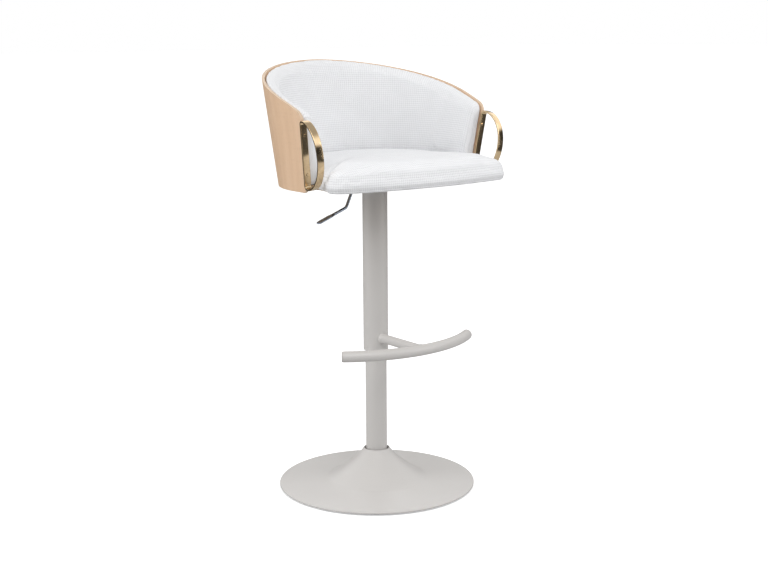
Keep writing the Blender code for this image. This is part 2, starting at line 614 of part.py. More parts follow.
def make_housing():
    """A shallow tray, open at the top, with holes for the gas cylinder, the lever and its pin."""
    middle = (HOUSING_BACK - HOUSING_FRONT) / 2
    half = (HOUSING_BACK + HOUSING_FRONT) / 2
    outer = [(x + middle, y) for x, y in rounded_box_outline(half, HOUSING_HALF_WIDTH, HOUSING_CORNER, 3)]
    inner = [(x + middle, y) for x, y in rounded_box_outline(half - HOUSING_SHEET,
             HOUSING_HALF_WIDTH - HOUSING_SHEET, HOUSING_CORNER - HOUSING_SHEET, 3)]
    floor_z = HOUSING_LOW_Z + HOUSING_SHEET
    rings = [[Vector((x, y, HOUSING_LOW_Z)) for x, y in outer], [Vector((x, y, HOUSING_TOP_Z)) for x, y in outer],
             [Vector((x, y, HOUSING_TOP_Z)) for x, y in inner], [Vector((x, y, floor_z)) for x, y in inner]]
    housing = finish_piece("lever_housing", loft(rings), STEEL, 0.45, 0.9)
    up = Vector((0, 0, 1))
    side = Vector((0, 1, 0))
    bore = CYLINDER_RADIUS + GAP
    bore_start = Vector((0, 0, HOUSING_LOW_Z - CUT_MARGIN))
    through = [stepped_rod(bore_start, up, [(0, bore), (HOUSING_SHEET + 2 * CUT_MARGIN, bore)], MEDIUM)]
    pin_hole = LEVER_PIN_RADIUS + GAP
    pin_start = Vector((LEVER_PIVOT_X, -HOUSING_HALF_WIDTH - CUT_MARGIN, LEVER_Z))
    through.append(stepped_rod(pin_start, side, [(0, pin_hole), (2 * (HOUSING_HALF_WIDTH + CUT_MARGIN), pin_hole)]))
    outer_x = -HOUSING_FRONT - CUT_MARGIN
    inner_x = -HOUSING_FRONT + HOUSING_SHEET + CUT_MARGIN
    slot = [(outer_x, -LEVER_SLOT), (inner_x, -LEVER_SLOT), (inner_x, LEVER_SLOT), (outer_x, LEVER_SLOT)]
    through.append(prism(slot, floor_z + LEVER_SLOT_SILL, HOUSING_TOP_Z + CUT_MARGIN))
    cut(housing, through)


# ---------------------------------------------------------------- seat plate and board

def make_seat_plate():
    outline = rounded_box_outline(PLATE_HALF_SIZE, PLATE_HALF_SIZE, PLATE_CORNER)
    plate = finish_piece("seat_plate", prism(outline, PLATE_LOW_Z, PLATE_TOP_Z), (0.06, 0.06, 0.06), 0.5, 0.6)
    up = Vector((0, 0, 1))
    half = PLATE_BOLT_SPACING / 2
    seats = [Vector((x, y, PLATE_LOW_Z)) for x in (-half, half) for y in (-half, half)]
    depth = PLATE_THICKNESS + GAP + THREAD_DEPTH
    cut(plate, [screw_hole(seat, up, depth, M6_SHANK) for seat in seats])
    for i, seat in enumerate(seats):
        screw(f"plate_bolt_{i + 1}", seat, up, depth - GAP, M6_SHANK, M6_HEAD, M6_HEAD_HEIGHT)
    return [screw_hole(seat, up, depth, M6_SHANK) for seat in seats]


# ---------------------------------------------------------------- shell

def shell_point(share, rise, inset=0.0):
    """A point of the shell: share -1 to 1 around it, rise in metres above its base, inset from its outer face."""
    turn = abs(share) * (SHELL_WRAP + SHELL_WRAP_FLARE * rise)
    angle = min(turn, pi / 2)
    arm = (turn - angle) * (SHELL_HALF_DEPTH + SHELL_DEPTH_FLARE * rise)
    half_width = SHELL_HALF_WIDTH + SHELL_WIDTH_FLARE * rise - inset
    half_depth = SHELL_HALF_DEPTH + SHELL_DEPTH_FLARE * rise - inset
    centre_y = SHELL_CENTRE_Y + SHELL_CENTRE_DRIFT * rise
    x = half_width * sin(angle)
    y = centre_y + half_depth * cos(angle) - arm
    return Vector((x if share >= 0 else -x, y, SEAT_BASE_Z + rise))


def rim_rise(share):
    """Height of the rim above the seat's base: low at the front edges, high at the back."""
    return SHELL_FRONT_HEIGHT + (SHELL_BACK_HEIGHT - SHELL_FRONT_HEIGHT) * (1 - abs(share) ** SHELL_RIM_POWER)


def front_edge(side):
    """Lower point, upward and forward unit vectors of the shell's front edge, where a ring's strip lies."""
    low = shell_point(side, 0.0, RING_INBOARD)
    high = shell_point(side, SHELL_FRONT_HEIGHT, RING_INBOARD)
    up = (high - low).normalized()
    toe_out = radians(RING_TOE_OUT)
    forward = Vector((side * sin(toe_out), -cos(toe_out), 0))
    forward = (forward - up * forward.dot(up)).normalized()
    return low, up, forward


def ring_axis(side):
    """Where a ring's straight bar lies: its middle, its up, forward and outward unit vectors."""
    low, up, forward = front_edge(side)
    outward = up.cross(forward) * side
    middle = low + up * ((RING_LIFT + RING_HEIGHT / 2) / up.z) + forward * (GAP + RING_SEAT + RING_THICKNESS / 2)
    return middle, up, forward, outward


def ring_screws(side):
    """Seats of a ring's screws, on the bar's inner face, and their axis."""
    middle, up, forward, outward = ring_axis(side)
    inboard = middle - outward * (SHELL_THICKNESS / 2 - RING_INBOARD)
    for end in (-1, 1):
        yield inboard + up * (end * RING_SCREW_SPREAD / 2) + forward * (RING_THICKNESS / 2), forward * -1


def bracket_frame(angle):
    """Foot, outward and sideways unit vectors of a shell bracket, on the board against the shell."""
    share = angle / SHELL_WRAP
    rise = BOARD_LIFT + BOARD_THICKNESS + GAP
    low = shell_point(share, rise, SHELL_THICKNESS)
    high = shell_point(share, rise + BRACKET_LEG, SHELL_THICKNESS)
    ahead = shell_point(share + 0.01, rise, SHELL_THICKNESS)
    sideways = (ahead - low).normalized()
    outward = Vector((0, 0, 1)).cross(sideways)
    if outward.dot(low) < 0:
        outward = -outward
    lean = (high - low).normalized()
    return low, outward, sideways, lean


def make_brackets():
    """Angle brackets between the board and the shell. Returns the holes for the board and the shell."""
    board_holes = []
    shell_holes = []
    down = Vector((0, 0, -1))
    for i, turn in enumerate(BRACKET_TURNS):
        foot, outward, sideways, lean = bracket_frame(radians(turn))
        corner = foot - outward * BRACKET_SEAT
        face = lean.cross(sideways)
        if face.dot(outward) > 0:
            face = -face
        ends = []
        for along in (-BRACKET_HALF_WIDTH, BRACKET_HALF_WIDTH):
            base = corner + sideways * along
            sheet_up = Vector((0, 0, BRACKET_SHEET))
            ends.append([base, base + lean * BRACKET_LEG, base + lean * BRACKET_LEG + face * BRACKET_SHEET,
                         base + lean * BRACKET_SHEET + face * BRACKET_SHEET,
                         base - outward * BRACKET_LEG + sheet_up, base - outward * BRACKET_LEG])
        bracket = finish_piece(f"shell_bracket_{i + 1}", loft(ends), STEEL, 0.4, 1.0)
        seat_low = corner - outward * (BRACKET_LEG * 0.62) + Vector((0, 0, BRACKET_SHEET))
        seat_wall = corner + lean * (BRACKET_LEG * 0.64) + face * BRACKET_SHEET
        holes = []
        for seat, axis, name in ((seat_low, down, "low"), (seat_wall, -face, "wall")):
            length = BRACKET_SHEET + BRACKET_SEAT + GAP + SMALL_THREAD_DEPTH
            for host in (holes, board_holes if axis is down else shell_holes):
                host.append(screw_hole(seat, axis, length, SMALL_SHANK))
            screw(f"bracket_screw_{name}_{i + 1}", seat, axis, length - GAP, SMALL_SHANK, SMALL_HEAD,
                  SMALL_HEAD_HEIGHT)
        cut(bracket, holes)
    return board_holes, shell_holes


def wall_rings(shares, profile):
    """Cross-sections around the shell; profile gives (rise, inset) points for a share."""
    return [[shell_point(share, rise, inset) for rise, inset in profile(share)] for share in shares]


def foot_rise(share):
    """Height of the shell's lower edge above the seat's base: level, with a round corner at each front edge."""
    to_front = (1 - abs(share)) * SHELL_WRAP * SHELL_HALF_DEPTH
    along = max(0.0, 1 - to_front / SHELL_CORNER)
    return SHELL_CORNER * (1 - sqrt(1 - along ** 2))


def shell_profile(share):
    top = rim_rise(share)
    low = foot_rise(share)
    edge = SHELL_THICKNESS * 0.22
    levels = [low + (top - low) * step for step in (0.0, 0.33, 0.67)]
    outer = [(level, 0.0) for level in levels] + [(top - edge, 0.0)]
    inner = [(top - edge, SHELL_THICKNESS)] + [(level, SHELL_THICKNESS) for level in levels[::-1]]
    return outer + [(top, edge), (top, SHELL_THICKNESS - edge)] + inner


def make_shell(holes):
    corner = SHELL_CORNER / (SHELL_WRAP * SHELL_HALF_DEPTH)
    side = [i / 22 for i in range(1, 22) if i / 22 < 1 - corner]
    side += [1 - corner * share for share in (0.9, 0.6, 0.3, 0.08, 0.0)]
    shares = [-share for share in side[::-1]] + [0.0] + side
    shell = finish_piece("wood_shell", loft(wall_rings(shares, shell_profile)), (0.72, 0.52, 0.33), 0.45, 0.0)
    cut(shell, holes)


def pad_profile(share):
    back = SHELL_THICKNESS + SOFT_GAP
    top = rim_rise(share) - PAD_RIM_DROP
    low = PAD_BOTTOM
    height = top - low
    bulge = [(0.0, 0.55), (0.05, 0.85), (0.15, 1.0), (0.4, 0.9), (0.7, 0.45), (0.9, 0.12)]
    points = [(low, back), (low + height * 0.5, back), (top - 0.004, back), (top, back + PAD_THICKNESS * 0.25)]
    points.append((top, back + PAD_THICKNESS * 0.7))
    points.append((top - PAD_THICKNESS * 0.28, back + PAD_THICKNESS * 0.97))
    for share_up, swell in bulge[::-1]:
        points.append((low + height * share_up * 0.9, back + PAD_THICKNESS + PAD_SWELL * swell))
    return points


def make_back_pad():
    shares = [i / 18 * (1 - PAD_WRAP_SHORT) for i in range(-18, 19)]
    finish_piece("back_pad", loft(wall_rings(shares, pad_profile)), (0.82, 0.82, 0.81), 0.9, 0.0)


# ---------------------------------------------------------------- cushion and board

def ring_foot_x():
    """Half the clear width between the two rings at their lowest points."""
    middle, up, forward, outward = ring_axis(1)
    return (middle - up * (RING_HEIGHT / 2) - outward * (RING_WIDTH / 2)).x


def cushion_front_y():
    """How far forward the cushion's front reaches at its middle."""
    low = shell_point(1.0, 0.0)
    return low.y - RING_DEPTH - CUSHION_RING_REACH


def seat_outline(inset, back_inset):
    """Plan of the seat: a bowed front with round corners, sides between the rings, then the shell's oval."""
    half = SHELL_HALF_WIDTH + CUSHION_OVERHANG - inset
    side_half = ring_foot_x() - SOFT_GAP - inset
    front_y = cushion_front_y() + inset
    arm_front = shell_point(1.0, PAD_BOTTOM, 0.0).y - CUSHION_ARM_CLEAR
    right = []
    for i in range(5):
        x = (half - CUSHION_CORNER) * i / 5
        right.append((x, front_y + CUSHION_BOW * (x / half) ** 2))
    corner_y = front_y + CUSHION_BOW * ((half - CUSHION_CORNER) / half) ** 2 + CUSHION_CORNER
    for i in range(7):
        angle = -pi / 2 + pi / 2 * i / 6
        right.append((half - CUSHION_CORNER + CUSHION_CORNER * cos(angle), corner_y + CUSHION_CORNER * sin(angle)))
    for i in range(1, 5):
        share = 1 - i / 4
        right.append((side_half + (half - side_half) * share ** 2, arm_front + (corner_y - arm_front) * share))
    notch = shell_point(1.0, 0.0, back_inset)
    right.append((min(notch.x, side_half), arm_front))
    for i in range(BOARD_STATIONS - 1, -1, -1):
        point = shell_point(i / BOARD_STATIONS, 0.0, back_inset)
        right.append((point.x, point.y))
    left = [(-x, y) for x, y in right[::-1] if x > 1e-6]
    return right + left


def make_board(holes):
    outline = seat_outline(BOARD_INSET, SHELL_THICKNESS + GAP)
    board = finish_piece("seat_board", prism(outline, BOARD_LOW_Z, BOARD_TOP_Z), (0.55, 0.40, 0.25), 0.7, 0.0)
    cut(board, holes)


def make_cushion():
    """The cushion hangs over the board's front and sides, so a pocket for the board is cut from below."""
    back = SHELL_THICKNESS + SOFT_GAP + PAD_THICKNESS + PAD_SWELL + SOFT_GAP
    outline = seat_outline(0.0, back)
    middle_y = 0.5 * (cushion_front_y() + SHELL_CENTRE_Y + SHELL_HALF_DEPTH - back)
    side_top = BOARD_LOW_Z + CUSHION_SIDE_HEIGHT
    layers = [(0.975, BOARD_LOW_Z), (0.992, BOARD_LOW_Z + 0.002), (1.0, BOARD_LOW_Z + 0.008),
              (1.0, side_top - 0.012), (0.985, side_top - 0.004), (0.95, side_top),
              (0.80, side_top + CUSHION_CROWN * 0.45), (0.45, side_top + CUSHION_CROWN)]
    rings = [[Vector((x * k, middle_y + (y - middle_y) * k, z)) for x, y in outline] for k, z in layers]
    cushion = finish_piece("seat_cushion", loft(rings), (0.84, 0.84, 0.83), 0.9, 0.0)
    pocket = seat_outline(BOARD_INSET - GAP, SHELL_THICKNESS)
    cut(cushion, [prism(pocket, BOARD_LOW_Z - 0.01, BOARD_TOP_Z + GAP)])


# ---------------------------------------------------------------- D-rings

def d_path():
    """Centreline of a D as (forward, up): the straight bar, two small corners and half an ellipse."""
    tall = RING_HEIGHT / 2 - RING_THICKNESS / 2
    deep = RING_DEPTH - RING_THICKNESS
    points = [(0.0, -tall * 0.3), (0.0, tall * 0.3)]
    for i in range(4):
        angle = pi - pi / 2 * i / 3
        points.append((RING_CORNER + RING_CORNER * cos(angle), tall - RING_CORNER + RING_CORNER * sin(angle)))
    for i in range(1, 18):
        angle = pi / 2 - pi * i / 18
        points.append((RING_CORNER + (deep - RING_CORNER) * cos(angle), tall * sin(angle)))
    for i in range(4):
        angle = -pi / 2 - pi / 2 * i / 3
        points.append((RING_CORNER + RING_CORNER * cos(angle), -tall + RING_CORNER + RING_CORNER * sin(angle)))
    return points


def ring_section():
    """Cross-section of the strip as (radial, outward): a flat bar with eased edges."""
    half_t = RING_THICKNESS / 2
    half_w = RING_WIDTH / 2
    ease = RING_THICKNESS * 0.25
    return [(half_t, half_w - ease), (half_t - ease, half_w), (ease - half_t, half_w), (-half_t, half_w - ease),
            (-half_t, ease - half_w), (ease - half_t, -half_w), (half_t - ease, -half_w), (half_t, ease - half_w)]


def make_ring(side, name):
    middle, up, forward, outward = ring_axis(side)
    path = d_path()
    rings = []
    count = len(path)
    for i in range(count):
        ahead = Vector(path[(i + 1) % count])
        behind = Vector(path[i - 1])
        tangent = (ahead - behind).normalized()
        normal = Vector((-tangent.y, tangent.x))
        ring = []
        for radial, across in ring_section():
            f = path[i][0] + normal.x * radial
            h = path[i][1] + normal.y * radial
            ring.append(middle + forward * f + up * h + outward * across)
        rings.append(ring)
    ring = finish_piece(name, loft(rings, closed_round=True), (0.75, 0.55, 0.22), 0.2, 1.0)
    shell_holes = []
    ring_holes = []
    length = RING_THICKNESS + RING_SEAT + GAP + SMALL_THREAD_DEPTH
    for i, (seat, axis) in enumerate(ring_screws(side)):
        for holes in (shell_holes, ring_holes):
            holes.append(screw_hole(seat, axis, length, SMALL_SHANK))
        screw(f"{name}_screw_{i + 1}", seat, axis, length - GAP, SMALL_SHANK, SMALL_HEAD, SMALL_HEAD_HEIGHT)
    cut(ring, ring_holes)
    return shell_holes


def main():
    clear_scene()
    make_floor_ring()
    make_base_weight()
    make_base_cover()
    make_pedestal()
    make_rod()
    make_cylinder()
    make_sleeve()
    make_footrest()
    make_lever()
    make_housing()
    plate_holes = make_seat_plate()
    board_holes, shell_holes = make_brackets()
    shell_holes += make_ring(-1, "ring_right")
    shell_holes += make_ring(1, "ring_left")
    make_board(plate_holes + board_holes)
    make_cushion()
    make_shell(shell_holes)
    make_back_pad()


main()
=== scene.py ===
import json
import math
import bpy
import numpy as np
from mathutils import Matrix, Vector


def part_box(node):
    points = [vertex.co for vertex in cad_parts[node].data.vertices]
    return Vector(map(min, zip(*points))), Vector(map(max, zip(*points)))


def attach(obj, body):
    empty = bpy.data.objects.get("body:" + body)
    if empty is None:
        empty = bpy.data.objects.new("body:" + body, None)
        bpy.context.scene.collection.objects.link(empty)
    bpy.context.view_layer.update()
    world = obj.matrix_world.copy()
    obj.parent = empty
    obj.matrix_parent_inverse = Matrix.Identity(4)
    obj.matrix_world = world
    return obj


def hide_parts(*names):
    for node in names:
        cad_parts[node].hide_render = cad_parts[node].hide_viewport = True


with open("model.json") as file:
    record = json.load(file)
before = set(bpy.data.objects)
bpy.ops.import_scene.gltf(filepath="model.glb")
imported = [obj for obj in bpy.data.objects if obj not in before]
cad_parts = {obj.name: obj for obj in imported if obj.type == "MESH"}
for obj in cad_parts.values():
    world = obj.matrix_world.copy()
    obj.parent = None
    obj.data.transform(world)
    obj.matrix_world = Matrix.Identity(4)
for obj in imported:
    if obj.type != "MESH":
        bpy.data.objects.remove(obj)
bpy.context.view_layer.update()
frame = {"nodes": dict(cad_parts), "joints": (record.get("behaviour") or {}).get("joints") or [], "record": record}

nodes = frame["nodes"]
print("frame loaded with", len(nodes), "nodes")

# surfaces from whole arrays


def smoothStep(x, start, end):
    # 0 before start, 1 after end, with level ends: 3t^2 - 2t^3
    t = np.clip((x - start) / (end - start), 0.0, 1.0)
    return t * t * (3.0 - 2.0 * t)


def roundedEnd(distance, radius):
    # a quarter circle: sqrt(1 - (1 - d / r)^2) of the distance d to an end, 1 from the radius on
    return np.sqrt(1 - (1 - np.clip(distance / radius, 0, 1)) ** 2)


def unit(vectors):
    return vectors / np.linalg.norm(vectors, axis=-1, keepdims=True)


def circle(count):
    return np.linspace(0, 2 * np.pi, count, endpoint=False)


def easedCorners(corners, reaches, steps=6):
    # each corner P becomes a quadratic curve (1-t)^2 A + 2t(1-t) P + t^2 B, where A and B lie its reach
    # along the two edges that meet there; corners is (n, dimensions) and closed
    corners = np.asarray(corners, float)
    reaches = np.broadcast_to(np.asarray(reaches, float), (len(corners),))[:, None]
    a = corners + unit(np.roll(corners, 1, axis=0) - corners) * reaches
    b = corners + unit(np.roll(corners, -1, axis=0) - corners) * reaches
    t = np.linspace(0.0, 1.0, steps)[None, :, None]
    curve = (1 - t) ** 2 * a[:, None] + 2 * t * (1 - t) * corners[:, None] + t ** 2 * b[:, None]
    return curve.reshape(-1, corners.shape[1])


def gridQuads(rows, columns, closeRows):
    # corner numbers of the quads between neighbouring rows and columns of a grid of points
    r, c = np.meshgrid(np.arange(rows if closeRows else rows - 1), np.arange(columns), indexing="ij")
    r2 = (r + 1) % rows
    c2 = (c + 1) % columns
    quads = [r * columns + c, r * columns + c2, r2 * columns + c2, r2 * columns + c]
    return np.stack(quads, axis=-1).reshape(-1, 4)


def writeField(mesh, label, values):
    field = mesh.attributes.new(label, "FLOAT_VECTOR", "POINT")
    field.data.foreach_set("vector", values.astype(np.float32).ravel())


def added(name, data):
    piece = bpy.data.objects.new(name, data)
    bpy.context.collection.objects.link(piece)
    return piece


def surface(name, grid, closeRows=False, fields=None, sharp=40.0):
    # a closed skin over a grid of points (rows, columns, 3); open rows end in a fan to their middle point;
    # the faces are turned outwards when the sum of a . (b x c) over them is negative
    rows, columns = grid.shape[:2]
    points = grid.reshape(-1, 3)
    faces = gridQuads(rows, columns, closeRows)
    fans = np.zeros((0, 3), int)
    if not closeRows:
        first = np.arange(columns)
        last = first + (rows - 1) * columns
        points = np.vstack([points, grid[0].mean(axis=0), grid[-1].mean(axis=0)])
        low, high = rows * columns, rows * columns + 1
        fans = np.vstack([np.stack([np.roll(first, -1), first, np.full(columns, low)], axis=-1),
                          np.stack([last, np.roll(last, -1), np.full(columns, high)], axis=-1)])
    corners = points[faces]
    volume = np.einsum("ij,ij->", corners[:, 0], np.cross(corners[:, 1], corners[:, 2]))
    volume += np.einsum("ij,ij->", corners[:, 0], np.cross(corners[:, 2], corners[:, 3]))
    if len(fans):
        ends = points[fans]
        volume += np.einsum("ij,ij->", ends[:, 0], np.cross(ends[:, 1], ends[:, 2]))
    if volume < 0:
        faces = faces[:, ::-1]
        fans = fans[:, ::-1]
    mesh = bpy.data.meshes.new(name)
    mesh.from_pydata(points.tolist(), [], faces.tolist() + fans.tolist())
    for label, values in (fields or {}).items():
        flat = values.reshape(-1, 3)
        if not closeRows:
            flat = np.vstack([flat, values[0].mean(axis=0), values[-1].mean(axis=0)])
        writeField(mesh, label, flat)
    mesh.shade_smooth()
    mesh.set_sharp_from_angle(angle=math.radians(sharp))
    return added(name, mesh)


def turned(name, outline, segments=144, sharp=40.0):
    # a closed outline of (radius, height) points swung about the column's axis: (r cos a, r sin a, h)
    outline = np.asarray(outline, float)
    a = circle(segments)[:, None]
    grid = np.stack([outline[:, 0] * np.cos(a), outline[:, 0] * np.sin(a),
                     np.broadcast_to(outline[:, 1], (segments, len(outline)))], axis=-1)
    return surface(name, grid, closeRows=True, sharp=sharp)


def swept(name, path, binormal, across, along, closed=False, sharp=40.0):
    # a flat path carries a section: point + normal * across + binormal * along, where the normal is the
    # path's direction crossed with the fixed binormal; across and along are (path points, section points)
    path = np.asarray(path, float)
    binormal = np.asarray(binormal, float)
    if closed:
        direction = np.roll(path, -1, axis=0) - np.roll(path, 1, axis=0)
    else:
        direction = np.gradient(path, axis=0)
    normal = unit(np.cross(unit(direction), binormal))
    grid = path[:, None] + normal[:, None] * across[..., None] + binormal[None, None] * along[..., None]
    return surface(name, grid, closeRows=closed, sharp=sharp)


def joined(columns):
    # one table of heights and one of insets, from pairs that may be one row or a row for each share
    rise = np.concatenate([heights for heights, insets in columns], axis=1)
    inset = [np.broadcast_to(insets, heights.shape) for heights, insets in columns]
    return rise, np.concatenate(inset, axis=1)


def place(piece, body, slot, *standsFor, finish=None):
    # body, finish and the CAD node that the piece stands for
    piece.data.materials.clear()
    piece.data.materials.append(finishes[finish or slot])
    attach(piece, body)
    if standsFor:
        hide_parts(*standsFor)
    return piece


# shader groups


def newGroup(name, inputs, outputs):
    # an empty shader group with its sockets: numbers, apart from Place
    group = bpy.data.node_groups.new(name, "ShaderNodeTree")
    for direction, labels in (("INPUT", inputs), ("OUTPUT", outputs)):
        for label in labels:
            kind = "NodeSocketVector" if label == "Place" else "NodeSocketFloat"
            group.interface.new_socket(label, in_out=direction, socket_type=kind)
    return group, group.nodes.new("NodeGroupInput").outputs, group.nodes.new("NodeGroupOutput").inputs


def feed(tree, socket, value):
    if isinstance(value, bpy.types.NodeSocket):
        tree.links.new(value, socket)
    elif value is not None:
        socket.default_value = value


def sums(tree, operation, *values):
    node = tree.nodes.new("ShaderNodeMath")
    node.operation = operation
    for socket, value in zip(node.inputs, values):
        feed(tree, socket, value)
    return node.outputs[0]


def stretched(tree, place, scale):
    # the place times a scale for each direction
    node = tree.nodes.new("ShaderNodeVectorMath")
    node.operation = "MULTIPLY"
    feed(tree, node.inputs[0], place)
    node.inputs[1].default_value = scale
    return node.outputs[0]


def cloud(tree, place, scale, detail=2.0, roughness=0.5):
    node = tree.nodes.new("ShaderNodeTexNoise")
    feed(tree, node.inputs["Vector"], place)
    node.inputs["Scale"].default_value = scale
    node.inputs["Detail"].default_value = detail
    node.inputs["Roughness"].default_value = roughness
    return node.outputs[0]


def between(tree, value, low, high, toLow=0.0, toHigh=1.0):
    # low..high becomes toLow..toHigh, held at both ends
    node = tree.nodes.new("ShaderNodeMapRange")
    feed(tree, node.inputs["Value"], value)
    for label, number in (("From Min", low), ("From Max", high), ("To Min", toLow), ("To Max", toHigh)):
        node.inputs[label].default_value = number
    return node.outputs[0]


def axes(tree, vector):
    # the vector's three numbers, by their labels
    node = tree.nodes.new("ShaderNodeSeparateXYZ")
    feed(tree, node.inputs[0], vector)
    return node.outputs


def blendColours(tree, share, first, second):
    node = tree.nodes.new("ShaderNodeMix")
    node.data_type = "RGBA"
    feed(tree, node.inputs["Factor"], share)
    for label, value in (("A", first), ("B", second)):
        socket = [s for s in node.inputs if s.name == label and s.type == "RGBA"][0]
        feed(tree, socket, value if isinstance(value, bpy.types.NodeSocket) else (*value, 1.0))
    return [s for s in node.outputs if s.type == "RGBA"][0]


def makeWeaveGroup():
    # over-and-under threads: one set rises as sin(pi x) where the square is odd, the other as sin(pi y)
    # where it is even, and a finer |sin| splits each into two yarns
    tree, given, out = newGroup("basketWeave", ["Place", "Cell"], ["Height", "Gap"])
    drift = cloud(tree, given["Place"], 60.0, 1.0)
    parts = axes(tree, given["Place"])
    cells = []
    for axis, push in (("X", 0.5), ("Y", -0.5)):
        scaled = sums(tree, "DIVIDE", parts[axis], given["Cell"])
        cells.append(sums(tree, "ADD", scaled, sums(tree, "MULTIPLY", drift, push)))
    across, up = (sums(tree, "FRACT", cell) for cell in cells)
    square = sums(tree, "ADD", *(sums(tree, "FLOOR", cell) for cell in cells))
    odd = sums(tree, "ABSOLUTE", sums(tree, "SUBTRACT", square, sums(tree, "MULTIPLY", 2.0,
               sums(tree, "FLOOR", sums(tree, "MULTIPLY", square, 0.5)))))
    heights = []
    for own, other in ((across, up), (up, across)):
        hump = sums(tree, "SINE", sums(tree, "MULTIPLY", own, math.pi))
        length = sums(tree, "SINE", sums(tree, "MULTIPLY", other, math.pi))
        yarn = sums(tree, "ABSOLUTE", sums(tree, "SINE", sums(tree, "MULTIPLY", own, 2 * math.pi)))
        bulge = sums(tree, "MULTIPLY_ADD", sums(tree, "POWER", length, 0.6), 0.65,
                     sums(tree, "MULTIPLY", yarn, 0.18))
        heights.append(sums(tree, "MULTIPLY", sums(tree, "POWER", hump, 0.5), bulge))
    weave = sums(tree, "ADD", sums(tree, "MULTIPLY", heights[0], odd),
                 sums(tree, "MULTIPLY", heights[1], sums(tree, "SUBTRACT", 1.0, odd)))
    fuzz = cloud(tree, given["Place"], 1500.0, 2.0, 0.6)
    feed(tree, out["Height"], sums(tree, "MULTIPLY_ADD", fuzz, 0.22, weave))
    feed(tree, out["Gap"], between(tree, weave, 0.10, 0.48, 1.0, 0.0))
    return tree


def makeGrainGroup():
    # long streaks, a slow drift of tone and short dark pores, all stretched along the second direction
    tree, given, out = newGroup("oakGrain", ["Place"], ["Streak", "Tone", "Pore"])
    bend = cloud(tree, stretched(tree, given["Place"], (9.0, 2.2, 1.0)), 1.0, 1.0)
    across = axes(tree, given["Place"])["X"]
    turn = sums(tree, "MULTIPLY_ADD", bend, 22.0, sums(tree, "MULTIPLY", across, 190.0))
    rings = sums(tree, "MULTIPLY_ADD", sums(tree, "SINE", turn), 0.5, 0.5)
    fibres = cloud(tree, stretched(tree, given["Place"], (900.0, 26.0, 26.0)), 1.0, 3.0, 0.6)
    streak = sums(tree, "MULTIPLY_ADD", rings, 0.22, sums(tree, "MULTIPLY", fibres, 0.82))
    feed(tree, out["Streak"], between(tree, streak, 0.18, 0.85))
    feed(tree, out["Tone"], cloud(tree, stretched(tree, given["Place"], (26.0, 4.0, 4.0)), 1.0, 2.0))
    pores = cloud(tree, stretched(tree, given["Place"], (2600.0, 110.0, 110.0)), 1.0, 1.0)
    feed(tree, out["Pore"], between(tree, pores, 0.62, 0.74))
    return tree


def makePeelGroup():
    # the soft dimples of sprayed powder, fine flecks, and a slow drift of sheen
    tree, given, out = newGroup("powderPeel", ["Place"], ["Height", "Fleck", "Drift"])
    feed(tree, out["Height"], cloud(tree, given["Place"], 700.0, 2.0))
    feed(tree, out["Fleck"], between(tree, cloud(tree, given["Place"], 2600.0, 1.0), 0.60, 0.72))
    feed(tree, out["Drift"], cloud(tree, given["Place"], 14.0, 2.0))
    return tree


def makeHandledGroup():
    # faint smears and hairline marks on bare or polished metal
    tree, given, out = newGroup("handledMetal", ["Place"], ["Smear", "Hairline"])
    feed(tree, out["Smear"], between(tree, cloud(tree, given["Place"], 45.0, 3.0, 0.6), 0.35, 0.75))
    drawn = stretched(tree, given["Place"], (3200.0, 3200.0, 180.0))
    feed(tree, out["Hairline"], cloud(tree, drawn, 1.0, 2.0))
    return tree


groups = {"weave": makeWeaveGroup(), "grain": makeGrainGroup(), "peel": makePeelGroup(),
          "handled": makeHandledGroup()}

# materials


def newMaterial(name, colour, roughness, metallic=0.0, **constants):
    material = bpy.data.materials.new(name)
    material.use_nodes = True
    tree = material.node_tree
    shader = tree.nodes["Principled BSDF"]
    shader.inputs["Base Color"].default_value = (*colour, 1.0)
    shader.inputs["Roughness"].default_value = roughness
    shader.inputs["Metallic"].default_value = metallic
    for label, value in constants.items():
        shader.inputs[label.replace("_", " ")].default_value = value
    return material, tree, shader


def shaded(colour, share):
    return tuple(min(1.0, share * c) for c in colour)


def objectPlace(tree):
    return tree.nodes.new("ShaderNodeTexCoord").outputs["Object"]


def ownPlace(tree, label):
    node = tree.nodes.new("ShaderNodeAttribute")
    node.attribute_name = label
    return node.outputs["Vector"]


def useGroup(tree, key, place, **numbers):
    node = tree.nodes.new("ShaderNodeGroup")
    node.node_tree = groups[key]
    feed(tree, node.inputs["Place"], place)
    for label, value in numbers.items():
        node.inputs[label].default_value = value
    return node.outputs


def roughen(tree, shader, height, distance, strength=1.0):
    node = tree.nodes.new("ShaderNodeBump")
    node.inputs["Distance"].default_value = distance
    node.inputs["Strength"].default_value = strength
    feed(tree, node.inputs["Height"], height)
    feed(tree, shader.inputs["Normal"], node.outputs[0])


# the first grey is painted shade for the gaps of the weave, the second painted shade for the seam groove and the
# fold
fabric = {"colour": (0.850, 0.856, 0.872), "gapShadeColour": (0.62, 0.62, 0.635), "cell": 0.0050, "relief": 0.0011,
          "creaseShadeColour": (0.50, 0.50, 0.51)}


